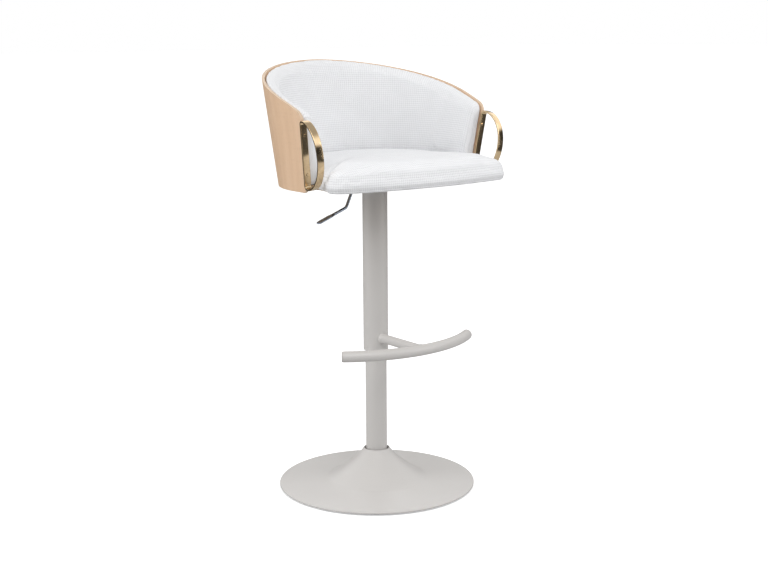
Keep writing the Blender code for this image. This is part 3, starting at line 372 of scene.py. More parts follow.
def makeFabric(name, split):
    # weave laid on the piece's own places; where split is set, the top takes x and y and the sides the
    # distance round the piece and the height
    material, tree, shader = newMaterial(name, fabric["colour"], 0.92, Sheen_Weight=0.25, Sheen_Roughness=0.6,
                                         Specular_IOR_Level=0.25)
    own = ownPlace(tree, "weavePlace")
    side = useGroup(tree, "weave", own, Cell=fabric["cell"])
    height, gap = side["Height"], side["Gap"]
    if split:
        top = useGroup(tree, "weave", objectPlace(tree), Cell=fabric["cell"])
        share = axes(tree, own)["Z"]
        both = []
        for label in ("Height", "Gap"):
            rest = sums(tree, "MULTIPLY", sums(tree, "SUBTRACT", 1.0, share), top[label])
            both.append(sums(tree, "MULTIPLY_ADD", side[label], share, rest))
        height, gap = both
    soft = cloud(tree, objectPlace(tree), 22.0, 3.0)
    plain = blendColours(tree, between(tree, soft, 0.3, 0.7), fabric["colour"],
                         shaded(fabric["colour"], 0.965))
    # painted shade: where the threads dip into gaps, the colour is darkened towards the gap grey
    woven = blendColours(tree, sums(tree, "MULTIPLY", gap, 0.75), plain, fabric["gapShadeColour"])
    # painted shade: the seam groove and the fold in the seat are darkened towards the seam grey
    creaseShadeMask = axes(tree, ownPlace(tree, "paintedCreaseShade"))["X"]
    feed(tree, shader.inputs["Base Color"], blendColours(tree, creaseShadeMask, woven, fabric["creaseShadeColour"]))
    roughen(tree, shader, height, fabric["relief"], 0.8)
    return material


oak = {"light": (0.790, 0.565, 0.390), "dark": (0.660, 0.440, 0.275), "pore": (0.40, 0.24, 0.13),
       "edge": (0.66, 0.50, 0.36), "plyDark": (0.50, 0.35, 0.22), "plies": 0.0030}


def makeOak():
    # veneer on the two faces; on the edges the layers of the plywood, counted through the thickness
    shine = {"Coat_Weight": 0.12, "Coat_Roughness": 0.35}
    material, tree, shader = newMaterial("oakVeneer", oak["light"], 0.42, **shine)
    own = ownPlace(tree, "veneerPlace")
    grain = useGroup(tree, "grain", own)
    tone = between(tree, grain["Tone"], 0.32, 0.68, 0.0, 0.4)
    darker = sums(tree, "MULTIPLY_ADD", grain["Streak"], 0.6, tone)
    veneer = blendColours(tree, darker, oak["light"], oak["dark"])
    veneer = blendColours(tree, sums(tree, "MULTIPLY", grain["Pore"], 0.55), veneer, oak["pore"])
    parts = axes(tree, ownPlace(tree, "edgePlace"))
    layers = sums(tree, "SINE", sums(tree, "MULTIPLY", parts["Y"], 2 * math.pi / oak["plies"]))
    ply = blendColours(tree, between(tree, layers, 0.2, 0.9, 0.0, 0.55), oak["edge"], oak["plyDark"])
    feed(tree, shader.inputs["Base Color"], blendColours(tree, parts["X"], veneer, ply))
    feed(tree, shader.inputs["Roughness"], between(tree, grain["Streak"], 0.0, 1.0, 0.36, 0.50))
    raised = sums(tree, "MULTIPLY", grain["Streak"], 0.5)
    relief = sums(tree, "SUBTRACT", raised, grain["Pore"])
    roughen(tree, shader, relief, 0.00012)
    return material


def makeCoat(name, colour, roughness=0.42):
    material, tree, shader = newMaterial(name, colour, roughness, Specular_IOR_Level=0.5)
    peel = useGroup(tree, "peel", objectPlace(tree))
    fleck = sums(tree, "MULTIPLY", peel["Fleck"], 0.35)
    feed(tree, shader.inputs["Base Color"], blendColours(tree, fleck, colour, shaded(colour, 0.80)))
    sheen = between(tree, peel["Drift"], 0.3, 0.7, roughness - 0.05, roughness + 0.06)
    feed(tree, shader.inputs["Roughness"], sheen)
    roughen(tree, shader, peel["Height"], 0.00010)
    return material


def makeMetal(name, colour, worn, roughness, relief=0.00002):
    # colour drifts towards worn where the metal is smeared; hairlines show in the gloss and the relief
    material, tree, shader = newMaterial(name, colour, roughness, 1.0)
    marks = useGroup(tree, "handled", objectPlace(tree))
    smear = sums(tree, "MULTIPLY", marks["Smear"], 0.4)
    feed(tree, shader.inputs["Base Color"], blendColours(tree, smear, colour, worn))
    gloss = sums(tree, "MULTIPLY_ADD", marks["Smear"], 0.07, roughness - 0.02)
    feed(tree, shader.inputs["Roughness"], sums(tree, "MULTIPLY_ADD", marks["Hairline"], 0.05, gloss))
    roughen(tree, shader, marks["Hairline"], relief)
    return material


def makePlain(name, colour, roughness, size, relief, metallic=0.0):
    # moulded, cast or sawn surfaces: one clouded tone with matching relief and gloss
    material, tree, shader = newMaterial(name, colour, roughness, metallic)
    lumps = cloud(tree, objectPlace(tree), size, 4.0, 0.6)
    tone = between(tree, lumps, 0.3, 0.7)
    mixed = blendColours(tree, tone, shaded(colour, 0.85), shaded(colour, 1.12))
    feed(tree, shader.inputs["Base Color"], mixed)
    feed(tree, shader.inputs["Roughness"], between(tree, lumps, 0.3, 0.7, roughness - 0.07, roughness + 0.07))
    roughen(tree, shader, lumps, relief)
    return material


coatColour = (0.565, 0.548, 0.532)
finishes = {
    "white_weave": makeFabric("backWeave", False), "seatWeave": makeFabric("seatWeave", True),
    "oak_veneer": makeOak(), "plywood": makePlain("plywood", (0.50, 0.36, 0.22), 0.68, 160.0, 0.0002),
    "powder_coat": makeCoat("greigePowderCoat", coatColour),
    "cap_plastic": makePlain("greigeCap", coatColour, 0.5, 900.0, 0.00005),
    "gold_brass": makeMetal("polishedBrass", (0.690, 0.525, 0.325), (0.60, 0.44, 0.26), 0.10),
    "darkChrome": makeMetal("darkChrome", (0.36, 0.41, 0.50), (0.29, 0.33, 0.40), 0.26),
    "bright_steel": makeMetal("groundRod", (0.62, 0.62, 0.63), (0.5, 0.5, 0.5), 0.10),
    "plain_steel": makeMetal("zincSteel", (0.55, 0.55, 0.56), (0.42, 0.42, 0.42), 0.36, 0.00005),
    "black_metal": makeCoat("blackEnamel", (0.035, 0.035, 0.037), 0.38),
    "ballast_iron": makePlain("castIron", (0.07, 0.07, 0.072), 0.72, 420.0, 0.0005, 0.4),
    "floor_rubber": makePlain("floorRubber", (0.03, 0.03, 0.03), 0.8, 1300.0, 0.00015),
    "white_nylon": makePlain("nylonWhite", (0.80, 0.79, 0.75), 0.48, 600.0, 0.00005),
    "black_nylon": makePlain("nylonBlack", (0.045, 0.045, 0.047), 0.5, 600.0, 0.00005),
}
for entry in frame["record"]["subparts"]:
    mesh = nodes[entry["node"]].data
    mesh.materials.clear()
    mesh.materials.append(finishes[entry["material_slot"]])
print("materials made:", len(finishes))

# base and column

baseCover = {"sheet": 0.0015, "lip": 0.0042, "edge": 0.0020, "slope": 0.085, "trumpet": 0.1150,
             "neck": 0.0300, "power": 1.2, "foot": 0.0004}


def coverHeight(r):
    # a shallow cone, slope * (R - r), then a rise 1 - (1 - s^p)^(1/p) towards the neck
    low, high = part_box("base_cover")
    rim = low.z + baseCover["lip"]
    s = np.clip((baseCover["trumpet"] - r) / (baseCover["trumpet"] - baseCover["neck"]), 0.0, 1.0)
    rise = 1 - (1 - s ** baseCover["power"]) ** (1 / baseCover["power"])
    atNeck = rim + baseCover["slope"] * (high.x - baseCover["neck"])
    return rim + baseCover["slope"] * (high.x - r) + (high.z - atNeck) * rise


def makeBaseCover():
    low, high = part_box("base_cover")
    sheet, edge = baseCover["sheet"], baseCover["edge"]
    flare = baseCover["neck"] + (baseCover["trumpet"] - baseCover["neck"]) * np.linspace(0.0, 1.0, 44) ** 1.6
    disc = np.linspace(baseCover["trumpet"], high.x - edge, 14)[1:]
    r = np.concatenate([flare, disc])
    z = coverHeight(r)
    a = np.linspace(0.0, np.pi / 2, 7)[1:]
    rimTop = coverHeight(np.array(high.x))
    rounding = np.stack([high.x - edge + edge * np.sin(a), rimTop - edge + edge * np.cos(a)], axis=-1)
    slope = np.gradient(z, r)
    length = np.hypot(1.0, slope)
    under = np.stack([r + slope / length * sheet, z - sheet / length], axis=-1)[4:-1]
    bore = baseCover["neck"] - sheet
    lip = np.linspace(0.0, np.pi, 9)[1:-1]
    half = sheet / 2
    mouthHeight = high.z - half * (1 - np.sin(lip))
    mouth = np.stack([baseCover["neck"] - half * (1 + np.cos(lip)), mouthHeight], axis=-1)
    z[0] = high.z - half
    top = np.stack([r, z], axis=-1)
    foot = [[high.x, low.z + baseCover["foot"]], [high.x - baseCover["foot"], low.z], [high.x - sheet, low.z],
            [high.x - sheet, rimTop - edge]]
    outline = np.vstack([mouth, top, rounding, foot, under[::-1],
                         [[bore, under[0, 1] - 0.004], [bore, high.z - half]]])
    return turned("baseCoverFine", outline, 192)


def makeTube(name, node, wall, endRound):
    # a round tube from the node's own box, with eased ends
    low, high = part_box(node)
    corners = [(high.x - wall, low.z), (high.x, low.z), (high.x, high.z), (high.x - wall, high.z)]
    return turned(name, easedCorners(corners, endRound, 5), 96)


place(makeBaseCover(), "base", "powder_coat", "base_cover")
place(makeTube("pedestalFine", "pedestal_tube", 0.0020, 0.0006), "base", "powder_coat", "pedestal_tube")
place(makeTube("sleeveFine", "sleeve_tube", 0.0020, 0.0008), "seat", "powder_coat", "sleeve_tube")
print("base and column made")

# footrest

footrest = {"bar": 0.0122, "wall": 0.0015, "chord": 0.3500, "sagitta": 0.0560, "arm": 0.0105, "bead": 0.0024,
            "beadLength": 0.0045, "capFlange": 0.0025, "capGap": 0.0003, "plug": 0.0120}


def barCurve():
    # radius of the bar's arc, (chord^2 / 4 + sagitta^2) / (2 sagitta), its centre and its half angle
    radius = (footrest["chord"] ** 2 / 4 + footrest["sagitta"] ** 2) / (2 * footrest["sagitta"])
    low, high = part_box("footrest_bar")
    halfAngle = math.asin(footrest["chord"] / 2 / radius)
    return radius, low.y + footrest["bar"] + radius, halfAngle, (low.z + high.z) / 2


def makeBar():
    radius, centreY, half, z = barCurve()
    a = np.linspace(-half, half, 121)
    ease = roundedEnd((half - np.abs(a)) * radius, 0.001)
    path = np.stack([radius * np.sin(a), centreY - radius * np.cos(a), np.full_like(a, z)], axis=-1)
    path = np.vstack([path, path[::-1]])
    outer = footrest["bar"] - 0.0006 * (1 - ease)
    wall = np.full_like(a, footrest["bar"] - footrest["wall"])
    r = np.concatenate([outer, wall])[:, None]
    turn = circle(48)[None]
    outward = unit(path - np.array([0.0, centreY, z]))
    grid = path[:, None] + outward[:, None] * (r * np.cos(turn))[..., None]
    grid = grid + np.array([0.0, 0.0, 1.0]) * (r * np.sin(turn))[..., None]
    return surface("footrestBarFine", grid, closeRows=True)


def makeCap(name, side):
    # a shallow dome over the bar's end: flange * sqrt(1 - (r / R)^2) past a straight rim
    radius, centreY, half, z = barCurve()
    a = side * half
    centre = np.array([radius * math.sin(a), centreY - radius * math.cos(a), z])
    out = np.array([math.cos(a), math.sin(a), 0.0]) * side
    share = np.sin(np.linspace(0.02, np.pi / 2, 12))
    rim = footrest["bar"]
    gap = footrest["capGap"]
    plug = rim - footrest["wall"] - gap
    r = np.concatenate([share * rim, [rim, plug, plug, plug * 0.9]])
    dome = 0.0008 + footrest["capFlange"] * np.sqrt(1 - share ** 2) * 0.7
    x = np.concatenate([dome, [gap, gap, 0.001 - footrest["plug"], -footrest["plug"]]])
    turn = circle(48)[None]
    across = np.cross(out, [0.0, 0.0, 1.0])
    grid = centre + out * x[:, None, None] + across * (r[:, None] * np.cos(turn))[..., None]
    grid = grid + np.array([0.0, 0.0, 1.0]) * (r[:, None] * np.sin(turn))[..., None]
    return surface(name, grid)


def makeArm():
    # a tube whose ends follow the round sleeve and the curved bar; its radius swells by a weld bead that
    # dies away as exp(-(distance / length)^2)
    radius, centreY, half, z = barCurve()
    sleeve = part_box("sleeve_tube")[1].x + 0.0001
    weld = np.linspace(0, 0.15, 14)
    t = np.concatenate([weld, np.linspace(0.15, 0.85, 12)[1:-1], np.linspace(0.85, 1, 14)])[:, None]
    reach = centreY - radius + sleeve
    fromEnd = np.minimum(t, 1 - t) * abs(reach)
    r = footrest["arm"] + footrest["bead"] * np.exp(-(fromEnd / footrest["beadLength"]) ** 2)
    turn = circle(56)[None]
    x = r * np.cos(turn)
    dz = np.clip(r * np.sin(turn), -footrest["bar"] * 0.98, footrest["bar"] * 0.98)
    start = -np.sqrt(sleeve ** 2 - x ** 2)
    inner = radius - np.sqrt(np.maximum((footrest["bar"] + 0.0001) ** 2 - dz ** 2, 0))
    finish = centreY - np.sqrt(inner ** 2 - x ** 2)
    y = start * (1 - t) + finish * t
    return surface("footrestArmFine", np.stack([x, y, z + dz], axis=-1), sharp=60)


place(makeBar(), "seat", "powder_coat", "footrest_bar")
place(makeArm(), "seat", "powder_coat", "footrest_arm")
place(makeCap("footrestCapRightFine", -1), "seat", "cap_plastic", "footrest_cap_right")
place(makeCap("footrestCapLeftFine", 1), "seat", "cap_plastic", "footrest_cap_left")
print("footrest made")

# release lever

lever = {"rod": 0.0034, "bendOut": 0.058, "bendReach": 0.0795, "bendDrop": 0.0469, "tipOut": 0.0785,
         "tipDrop": 0.0295, "inner": 0.0050, "bendRadius": 0.0120, "paddle": 0.0500,
         "paddleHalfWidth": 0.0090, "paddleHalfThickness": 0.0022, "nose": 0.0100, "pivotX": -0.0350,
         "boss": 0.0056, "bossWidth": 0.0100, "bore": 0.0026}
pivotZ = frame["joints"][2]["pos_m"][2]


def makeLever():
    # a round rod along a twice bent path that flattens towards its tip: the half width and half
    # thickness are blended from rod to paddle, times a quarter circle at the nose
    tip = np.array([-lever["bendReach"] - lever["tipOut"], pivotZ - lever["bendDrop"] - lever["tipDrop"]])
    corners = np.array([[lever["inner"], pivotZ], [-lever["bendOut"], pivotZ],
                        [-lever["bendReach"], pivotZ - lever["bendDrop"]], tip])
    back, ahead = corners[:-2] - corners[1:-1], corners[2:] - corners[1:-1]
    turn = np.sum(unit(back) * unit(ahead), axis=1)
    reach = lever["bendRadius"] / np.tan(np.arccos(turn) / 2)
    bends = easedCorners(corners, [0.0005, reach[0], reach[1], 0.0005], 16)[16:48]
    knots = np.vstack([corners[:1], bends, tip])
    steps = np.concatenate([[0], np.cumsum(np.linalg.norm(np.diff(knots, axis=0), axis=1))])
    tip = lever["nose"]
    nearTip = steps[-1] - tip * (1 - np.sin(np.linspace(0.05, np.pi / 2, 14)))
    s = np.concatenate([np.linspace(0, steps[-1] - tip, 130), nearTip])
    x, z = np.interp(s, steps, knots[:, 0]), np.interp(s, steps, knots[:, 1])
    path = np.stack([x, np.zeros_like(x), z], axis=-1)
    left = steps[-1] - s
    flat = 1 - smoothStep(left, lever["paddle"] * 0.72, lever["paddle"])
    wide = lever["rod"] + (lever["paddleHalfWidth"] - lever["rod"]) * flat
    thick = lever["rod"] + (lever["paddleHalfThickness"] - lever["rod"]) * flat
    nose = np.maximum(roundedEnd(left, tip), 0.06)
    wide = wide * nose
    thick = thick * nose ** 0.5
    start = np.clip(s / 0.0010, 0, 1) * 0.35 + 0.65
    a = circle(36)[None]
    square = 1 + flat[:, None] * 0.10 * np.cos(4 * a)
    across = (thick * start)[:, None] * np.cos(a) / square
    along = (wide * start)[:, None] * np.sin(a) / square
    return swept("leverRod", path, (0.0, 1.0, 0.0), across, along, sharp=50)


def makeLeverBoss():
    # a short sleeve about the pivot pin: a closed outline of (radius, side) turned about the side axis
    half = lever["bossWidth"] / 2
    corners = [(lever["bore"], -half), (lever["boss"], -half), (lever["boss"], half), (lever["bore"], half)]
    outline = easedCorners(corners, 0.0006, 4)
    a = circle(48)[:, None]
    x = lever["pivotX"] + outline[:, 0] * np.cos(a)
    grid = np.stack([x, np.broadcast_to(outline[:, 1], x.shape), pivotZ + outline[:, 0] * np.sin(a)], axis=-1)
    return surface("leverBoss", grid, closeRows=True)


place(makeLever(), "lever_body", "bright_steel", "lever", finish="darkChrome")
place(makeLeverBoss(), "lever_body", "bright_steel", finish="darkChrome")
print("lever made")

# wood shell

shell = {"halfWidth": 0.2304, "halfDepth": 0.2236, "centreY": -0.0227, "widthFlare": 0.1316,
         "depthFlare": 0.1190, "drift": 0.0162, "wrap": 1.7840, "wrapFlare": 0.3377, "front": 0.1692,
         "back": 0.2722, "rimPower": 1.78, "thickness": 0.0070, "corner": 0.0120, "edge": 0.0015,
         "topCorner": 0.0160}
shellArc = shell["wrap"] * shell["halfDepth"]
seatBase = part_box("wood_shell")[0].z


def shellPoint(share, rise, inset):
    # half an oval, x = w sin a and y = c + d cos a, with straight arms past a quarter turn; w, d and the
    # turn grow with height, and inset moves towards the middle
    turn = np.abs(share) * (shell["wrap"] + shell["wrapFlare"] * rise)
    a = np.minimum(turn, np.pi / 2)
    arm = (turn - a) * (shell["halfDepth"] + shell["depthFlare"] * rise)
    x = (shell["halfWidth"] + shell["widthFlare"] * rise - inset) * np.sin(a)
    depth = shell["halfDepth"] + shell["depthFlare"] * rise - inset
    y = shell["centreY"] + shell["drift"] * rise + depth * np.cos(a) - arm
    return np.stack([np.where(share >= 0, x, -x), y, seatBase + rise + 0 * x], axis=-1)


def shellPlace(points):
    # the way back: share round the shell, height above the seat's base and inset from the outer face
    rise = points[:, 2] - seatBase
    width = shell["halfWidth"] + shell["widthFlare"] * rise
    depth = shell["halfDepth"] + shell["depthFlare"] * rise
    y = points[:, 1] - shell["centreY"] - shell["drift"] * rise
    behind = np.maximum(y, 0.0)
    q = np.hypot(points[:, 0] / width, behind / depth)
    inset = (1 - q) * (width + depth) / 2
    a = np.arctan2(np.abs(points[:, 0]) / (width - inset), behind / (depth - inset))
    turn = np.where(y >= 0, a, np.pi / 2 - y / depth)
    return np.sign(points[:, 0]) * turn / (shell["wrap"] + shell["wrapFlare"] * rise), rise, inset


def rimRise(share):
    # falls from the back to the arms, with a rounded corner where each arm ends
    rounding = shell["topCorner"] * (1 - roundedEnd((1 - np.abs(share)) * shellArc, shell["topCorner"]))
    climb = 1 - np.abs(share) ** shell["rimPower"]
    return shell["front"] + (shell["back"] - shell["front"]) * climb - rounding


def footRise(share):
    return shell["corner"] * (1 - roundedEnd((1 - np.abs(share)) * shellArc, shell["corner"]))


def makeShell():
    # cross-sections with eased corners, carried round the oval; the veneer's place is (arc, height)
    nearFront = 0.965 + 0.035 * np.sin(np.linspace(0, np.pi / 2, 26))[1:]
    side = np.concatenate([np.linspace(0, 0.965, 110), nearFront])
    share = np.concatenate([-side[:0:-1], side])[:, None]
    t, e = shell["thickness"], shell["edge"]
    levels = np.linspace(0.0, 1.0, 46)
    corner = np.linspace(0, np.pi / 2, 6)
    top, low = rimRise(share), footRise(share)
    up = low + e + (top - low - 2 * e) * levels
    columns = [(up, 0 * up), (top - e + e * np.sin(corner), e - e * np.cos(corner)),
               (top + 0 * corner, e + (t - 2 * e) * corner / corner[-1]),
               (top - e + e * np.cos(corner), t - e + e * np.sin(corner)), (up[:, ::-1], t + 0 * up),
               (low + e - e * np.sin(corner), t - e + e * np.cos(corner)),
               (low + 0 * corner, t - e - (t - 2 * e) * corner / corner[-1]),
               (low + e - e * np.cos(corner), e - e * np.sin(corner))]
    rise, inset = joined(columns)
    toEnd = (1 - np.abs(share)) * shellArc
    slim = 1 - 0.12 * (1 - np.clip(toEnd / 0.0012, 0, 1)) ** 2
    inset = t / 2 + (inset - t / 2) * slim
    grid = shellPoint(share, rise, inset)
    arc = share * shellArc + 0 * rise
    onEdge = smoothStep(rise, top - e, top - e * 0.4)
    onEdge = np.maximum(onEdge, smoothStep(-rise, -(low + e), -(low + e * 0.4)))
    onEdge = np.maximum(onEdge, (np.abs(share) > 0.99999) * 1.0)
    veneer = np.stack([arc, rise, inset], axis=-1)
    edge = np.stack([onEdge, inset, 0 * inset], axis=-1)
    return surface("woodShellFine", grid, fields={"veneerPlace": veneer, "edgePlace": edge}, sharp=50)


place(makeShell(), "seat", "oak_veneer", "wood_shell")
print("shell made")

# D-rings

ring = {"height": 0.1500, "depth": 0.0700, "width": 0.0150, "thickness": 0.0045, "corner": 0.0070,
        "toeOut": 6.0, "lift": 0.0080, "inboard": 0.0025, "seat": 0.0006, "gap": 0.0003, "ease": 0.0011}


def makeRing(name, side):
    # a D in its own plane, (forward, up): a straight bar, two quarter turns and half an ellipse, carrying
    # a flat bar with eased edges
    low = shellPoint(np.array(float(side)), 0.0, ring["inboard"])
    high = shellPoint(np.array(float(side)), shell["front"], ring["inboard"])
    up = unit(high - low)
    toe = math.radians(ring["toeOut"])
    forward = np.array([side * math.sin(toe), -math.cos(toe), 0.0])
    forward = unit(forward - up * forward.dot(up))
    outward = np.cross(up, forward) * side
    middle = low + up * ((ring["lift"] + ring["height"] / 2) / up[2])
    middle = middle + forward * (ring["gap"] + ring["seat"] + ring["thickness"] / 2)
    tall, deep = (ring["height"] - ring["thickness"]) / 2, ring["depth"] - ring["thickness"]
    c = ring["corner"]
    turn = np.linspace(np.pi, np.pi / 2, 12)[:-1]
    sweep = np.linspace(np.pi / 2, -np.pi / 2, 120)
    straight = np.linspace(-1, 1, 40)[1:-1] * (tall - c)
    f = np.concatenate([0 * straight, c + c * np.cos(turn), c + (deep - c) * np.cos(sweep),
                        c + c * np.cos(-turn[::-1])])
    h = np.concatenate([straight, tall - c + c * np.sin(turn), tall * np.sin(sweep),
                        c - tall + c * np.sin(-turn[::-1])])
    path = middle + forward * f[:, None] + up * h[:, None]
    half, wide = ring["thickness"] / 2, ring["width"] / 2
    section = easedCorners([(half, wide), (-half, wide), (-half, -wide), (half, -wide)], ring["ease"], 7)
    count = len(path)
    return swept(name, path, outward, np.broadcast_to(section[:, 0], (count, len(section))),
                 np.broadcast_to(section[:, 1], (count, len(section))), closed=True, sharp=60)


place(makeRing("ringRightFine", -1), "seat", "gold_brass", "ring_right")
place(makeRing("ringLeftFine", 1), "seat", "gold_brass", "ring_left")
print("rings made")

# upholstery


def evaluatedMesh(piece):
    return bpy.data.meshes.new_from_object(piece.evaluated_get(bpy.context.evaluated_depsgraph_get()))


def vectors(entries, label):
    flat = np.zeros(len(entries) * 3, np.float32)
    entries.foreach_get(label, flat)
    return flat.reshape(-1, 3).astype(float)


def meshPoints(mesh):
    return vectors(mesh.vertices, "co")


def setPoints(mesh, points):
    mesh.vertices.foreach_set("co", points.astype(np.float32).ravel())
    mesh.update()


clothSettings = {"quality": 5, "mass": 0.35, "tension_stiffness": 18.0, "compression_stiffness": 18.0,
                 "shear_stiffness": 8.0, "bending_stiffness": 0.6, "use_pressure": True}


def inflated(form, name, stuffing, held):
    # even squares all over, then fabric under pressure; held(points) is true where the fabric is fixed
    # down, and no point may move further than the stuffing's limit; one subdivision makes it fine
    remesh = form.modifiers.new("squares", "REMESH")
    remesh.mode = "VOXEL"
    remesh.voxel_size = stuffing["voxel"]
    remesh.use_smooth_shade = True
    mesh = evaluatedMesh(form)
    bpy.data.objects.remove(form)
    piece = added(name, mesh)
    start = meshPoints(mesh)
    pins = piece.vertex_groups.new(name="heldDown")
    pins.add(np.flatnonzero(held(start)).tolist(), 1.0, "ADD")
    cloth = piece.modifiers.new("fabric", "CLOTH")
    for label, value in clothSettings.items():
        setattr(cloth.settings, label, value)
    cloth.settings.vertex_group_mass = "heldDown"
    cloth.settings.uniform_pressure_force = stuffing["pressure"]
    cloth.settings.effector_weights.gravity = 0.0
    cloth.collision_settings.use_self_collision = False
    cloth.point_cache.frame_start = 1
    cloth.point_cache.frame_end = 20
    for step in range(1, 21):
        bpy.context.scene.frame_set(step)
    swollen = evaluatedMesh(piece)
    moved = meshPoints(swollen) - start
    far = np.linalg.norm(moved, axis=1, keepdims=True)
    start = start + moved * np.minimum(1.0, stuffing["limit"] / np.maximum(far, 1e-9))
    print(name, "swelled by up to", round(float(far.max()) * 1000, 1), "mm")
    piece.modifiers.clear()
    bpy.data.meshes.remove(swollen)
    bpy.context.scene.frame_set(1)
    setPoints(mesh, start)
    finer = piece.modifiers.new("finer", "SUBSURF")
    finer.levels = 1
    finer.render_levels = 1
    mesh = evaluatedMesh(piece)
    piece.modifiers.clear()
    piece.data = mesh
    mesh.shade_smooth()
    return piece


# the last number sets how strongly shade is painted into the seam groove
backPad = {"voxel": 0.0045, "pressure": 4.0, "limit": 0.0035, "gap": 0.0016, "thickness": 0.0245,
           "swell": 0.0065, "bottom": 0.0330, "bottomDrop": 0.0155, "rimDrop": 0.0014, "short": 0.0015,
           "topRound": 0.0105, "endRound": 0.0045, "backRound": 0.0030, "seamDown": 0.0045,
           "seamDepth": 0.0007, "seamWidth": 0.0015, "paintedCreaseShade": 0.2}
padBack = shell["thickness"] + backPad["gap"]


def makePadForm():
    # the shell's oval carried by a flat loop: up the back, over a round top, and down a front face that
    # stands out by the swell times a smooth hump; the thickness closes as a quarter round at both ends
    share = np.linspace(-1, 1, 241)[:, None] * (1 - backPad["short"])
    top = rimRise(share) - backPad["rimDrop"]
    low = backPad["bottom"] - backPad["bottomDrop"] * smoothStep(np.abs(share), 0.78, 0.92)
    thick, r = backPad["thickness"], backPad["topRound"]
    s = np.linspace(0, 1, 48)
    hump = np.interp(s, [0.0, 0.06, 0.16, 0.4, 0.7, 0.9, 1.0], [0.55, 0.85, 1.0, 0.9, 0.45, 0.12, 0.0])
    corner = np.linspace(0, np.pi / 2, 10)
    small = backPad["backRound"]
    front = padBack + thick + backPad["swell"] * hump
    columns = [(low + small + (top - low - 2 * small) * s, padBack + 0 * s + 0 * share),
               (top - small + small * np.sin(corner), padBack + small - small * np.cos(corner)),
               (top - r + r * np.cos(corner), padBack + thick - r + r * np.sin(corner)),
               (low + r + (top - low - 2 * r) * s[::-1], front[::-1]),
               (low + r - r * np.sin(corner), front[0] - r + r * np.cos(corner)),
               (low + small - small * np.cos(corner), padBack + small - small * np.sin(corner))]
    rise, inset = joined(columns)
    toEnd = (share.max() - np.abs(share)) * shellArc
    middle = padBack + 0.35 * thick
    inset = middle + (inset - middle) * np.maximum(roundedEnd(toEnd, backPad["endRound"]), math.sqrt(0.30))
    return surface("padForm", shellPoint(share, rise, inset))


def makeBackPad():
    piece = inflated(makePadForm(), "backPadCover", backPad, lambda p: shellPlace(p)[2] < padBack + 0.006)
    mesh = piece.data
    points, normals = meshPoints(mesh), vectors(mesh.vertex_normals, "vector")
    share, rise, inset = shellPlace(points)
    front = padBack + backPad["thickness"]
    onFront = smoothStep(inset, front - 0.012, front - 0.004)
    down = rimRise(share) - backPad["rimDrop"] - rise + np.maximum(front - inset, 0.0) * 0.5
    line = np.exp(-((down - backPad["seamDown"]) / backPad["seamWidth"]) ** 2) * onFront
    points = points - normals * (line * backPad["seamDepth"])[:, None]
    share, rise, inset = shellPlace(points)
    tooDeep = np.maximum(padBack - 0.0009 - inset, 0.0)
    points = shellPoint(share, rise, inset + tooDeep)
    setPoints(mesh, points)
    arc = share * shellArc
    writeField(mesh, "weavePlace", np.stack([arc, rise + front - inset, 1 + 0 * arc], axis=-1))
    # painted shade along the seam groove
    writeField(mesh, "paintedCreaseShade", np.stack([backPad["paintedCreaseShade"] * line, 0 * line, 0 * line], axis=-1))
    return piece


cushion = {"voxel": 0.0048, "pressure": 4.0, "limit": 0.0045, "sideHeight": 0.0500, "crown": 0.0110,
           "crownPower": 2.2, "bow": 0.0300, "corner": 0.0360, "wide": 0.2370, "sideHalf": 0.2120,
           "front": -0.2145, "ringGap": 0.0014, "armGap": 0.0050, "backRise": 0.0360, "inset": 0.0140,
           "topRound": 0.0170, "topReach": 1.25, "bottomRound": 0.0070, "shoulder": 0.0160,
           "shoulderDrop": 0.0030, "pocketFrom": (-0.081, -0.072), "creaseFrom": (0.202, -0.122),
           "creaseTo": (0.082, -0.030), "creaseDepth": 0.0095, "creaseWidth": 0.0058, "seamUp": 0.0080,
           "seamDepth": 0.0010, "seamWidth": 0.0015}


def cushionOutline(count):
    # the seat in plan: a bowed front, round corners, sides that draw in to the rings, a step behind the
    # arms and the shell's oval at the back; then even steps and a light averaging round the loop
    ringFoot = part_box("ring_left")[0].x
    half, corner = cushion["wide"], cushion["corner"]
    sideHalf = min(ringFoot - cushion["ringGap"], cushion["sideHalf"])
    u = np.linspace(0, 1, 14)[:-1]
    x = (half - corner) * u
    front = np.stack([x, cushion["front"] + cushion["bow"] * (x / half) ** 2], axis=-1)
    cornerY = cushion["front"] + cushion["bow"] * ((half - corner) / half) ** 2 + corner
    a = np.linspace(-np.pi / 2, 0, 12)
    turn = np.stack([half - corner + corner * np.cos(a), cornerY + corner * np.sin(a)], axis=-1)
    back = padBack + backPad["thickness"] + backPad["swell"] + 0.001
    armFront = shellPoint(np.array(1.0), backPad["bottom"], 0.0)[1] - cushion["armGap"]
    v = np.linspace(1, 0, 12)[1:]
    side = np.stack([sideHalf + (half - sideHalf) * v ** 2, armFront + (cornerY - armFront) * v], axis=-1)
    share = np.linspace(1, 0, 40)
    oval = shellPoint(share, 0 * share + cushion["backRise"], back)[:, :2]
    step = np.array([[oval[0, 0] + 0.002, armFront + 0.002]])
    right = np.vstack([front, turn, side, step, oval])
    loop = np.vstack([right, right[-2:0:-1] * [-1, 1]])
    closed = np.vstack([loop, loop[:1]])
    s = np.concatenate([[0], np.cumsum(np.linalg.norm(np.diff(closed, axis=0), axis=1))])
    even = np.linspace(0, s[-1], count, endpoint=False)
    points = np.stack([np.interp(even, s, closed[:, 0]), np.interp(even, s, closed[:, 1])], axis=-1)
    for _ in range(3):
        points = (np.roll(points, 1, axis=0) + 2 * points + np.roll(points, -1, axis=0)) / 4
    return points, s[-1]


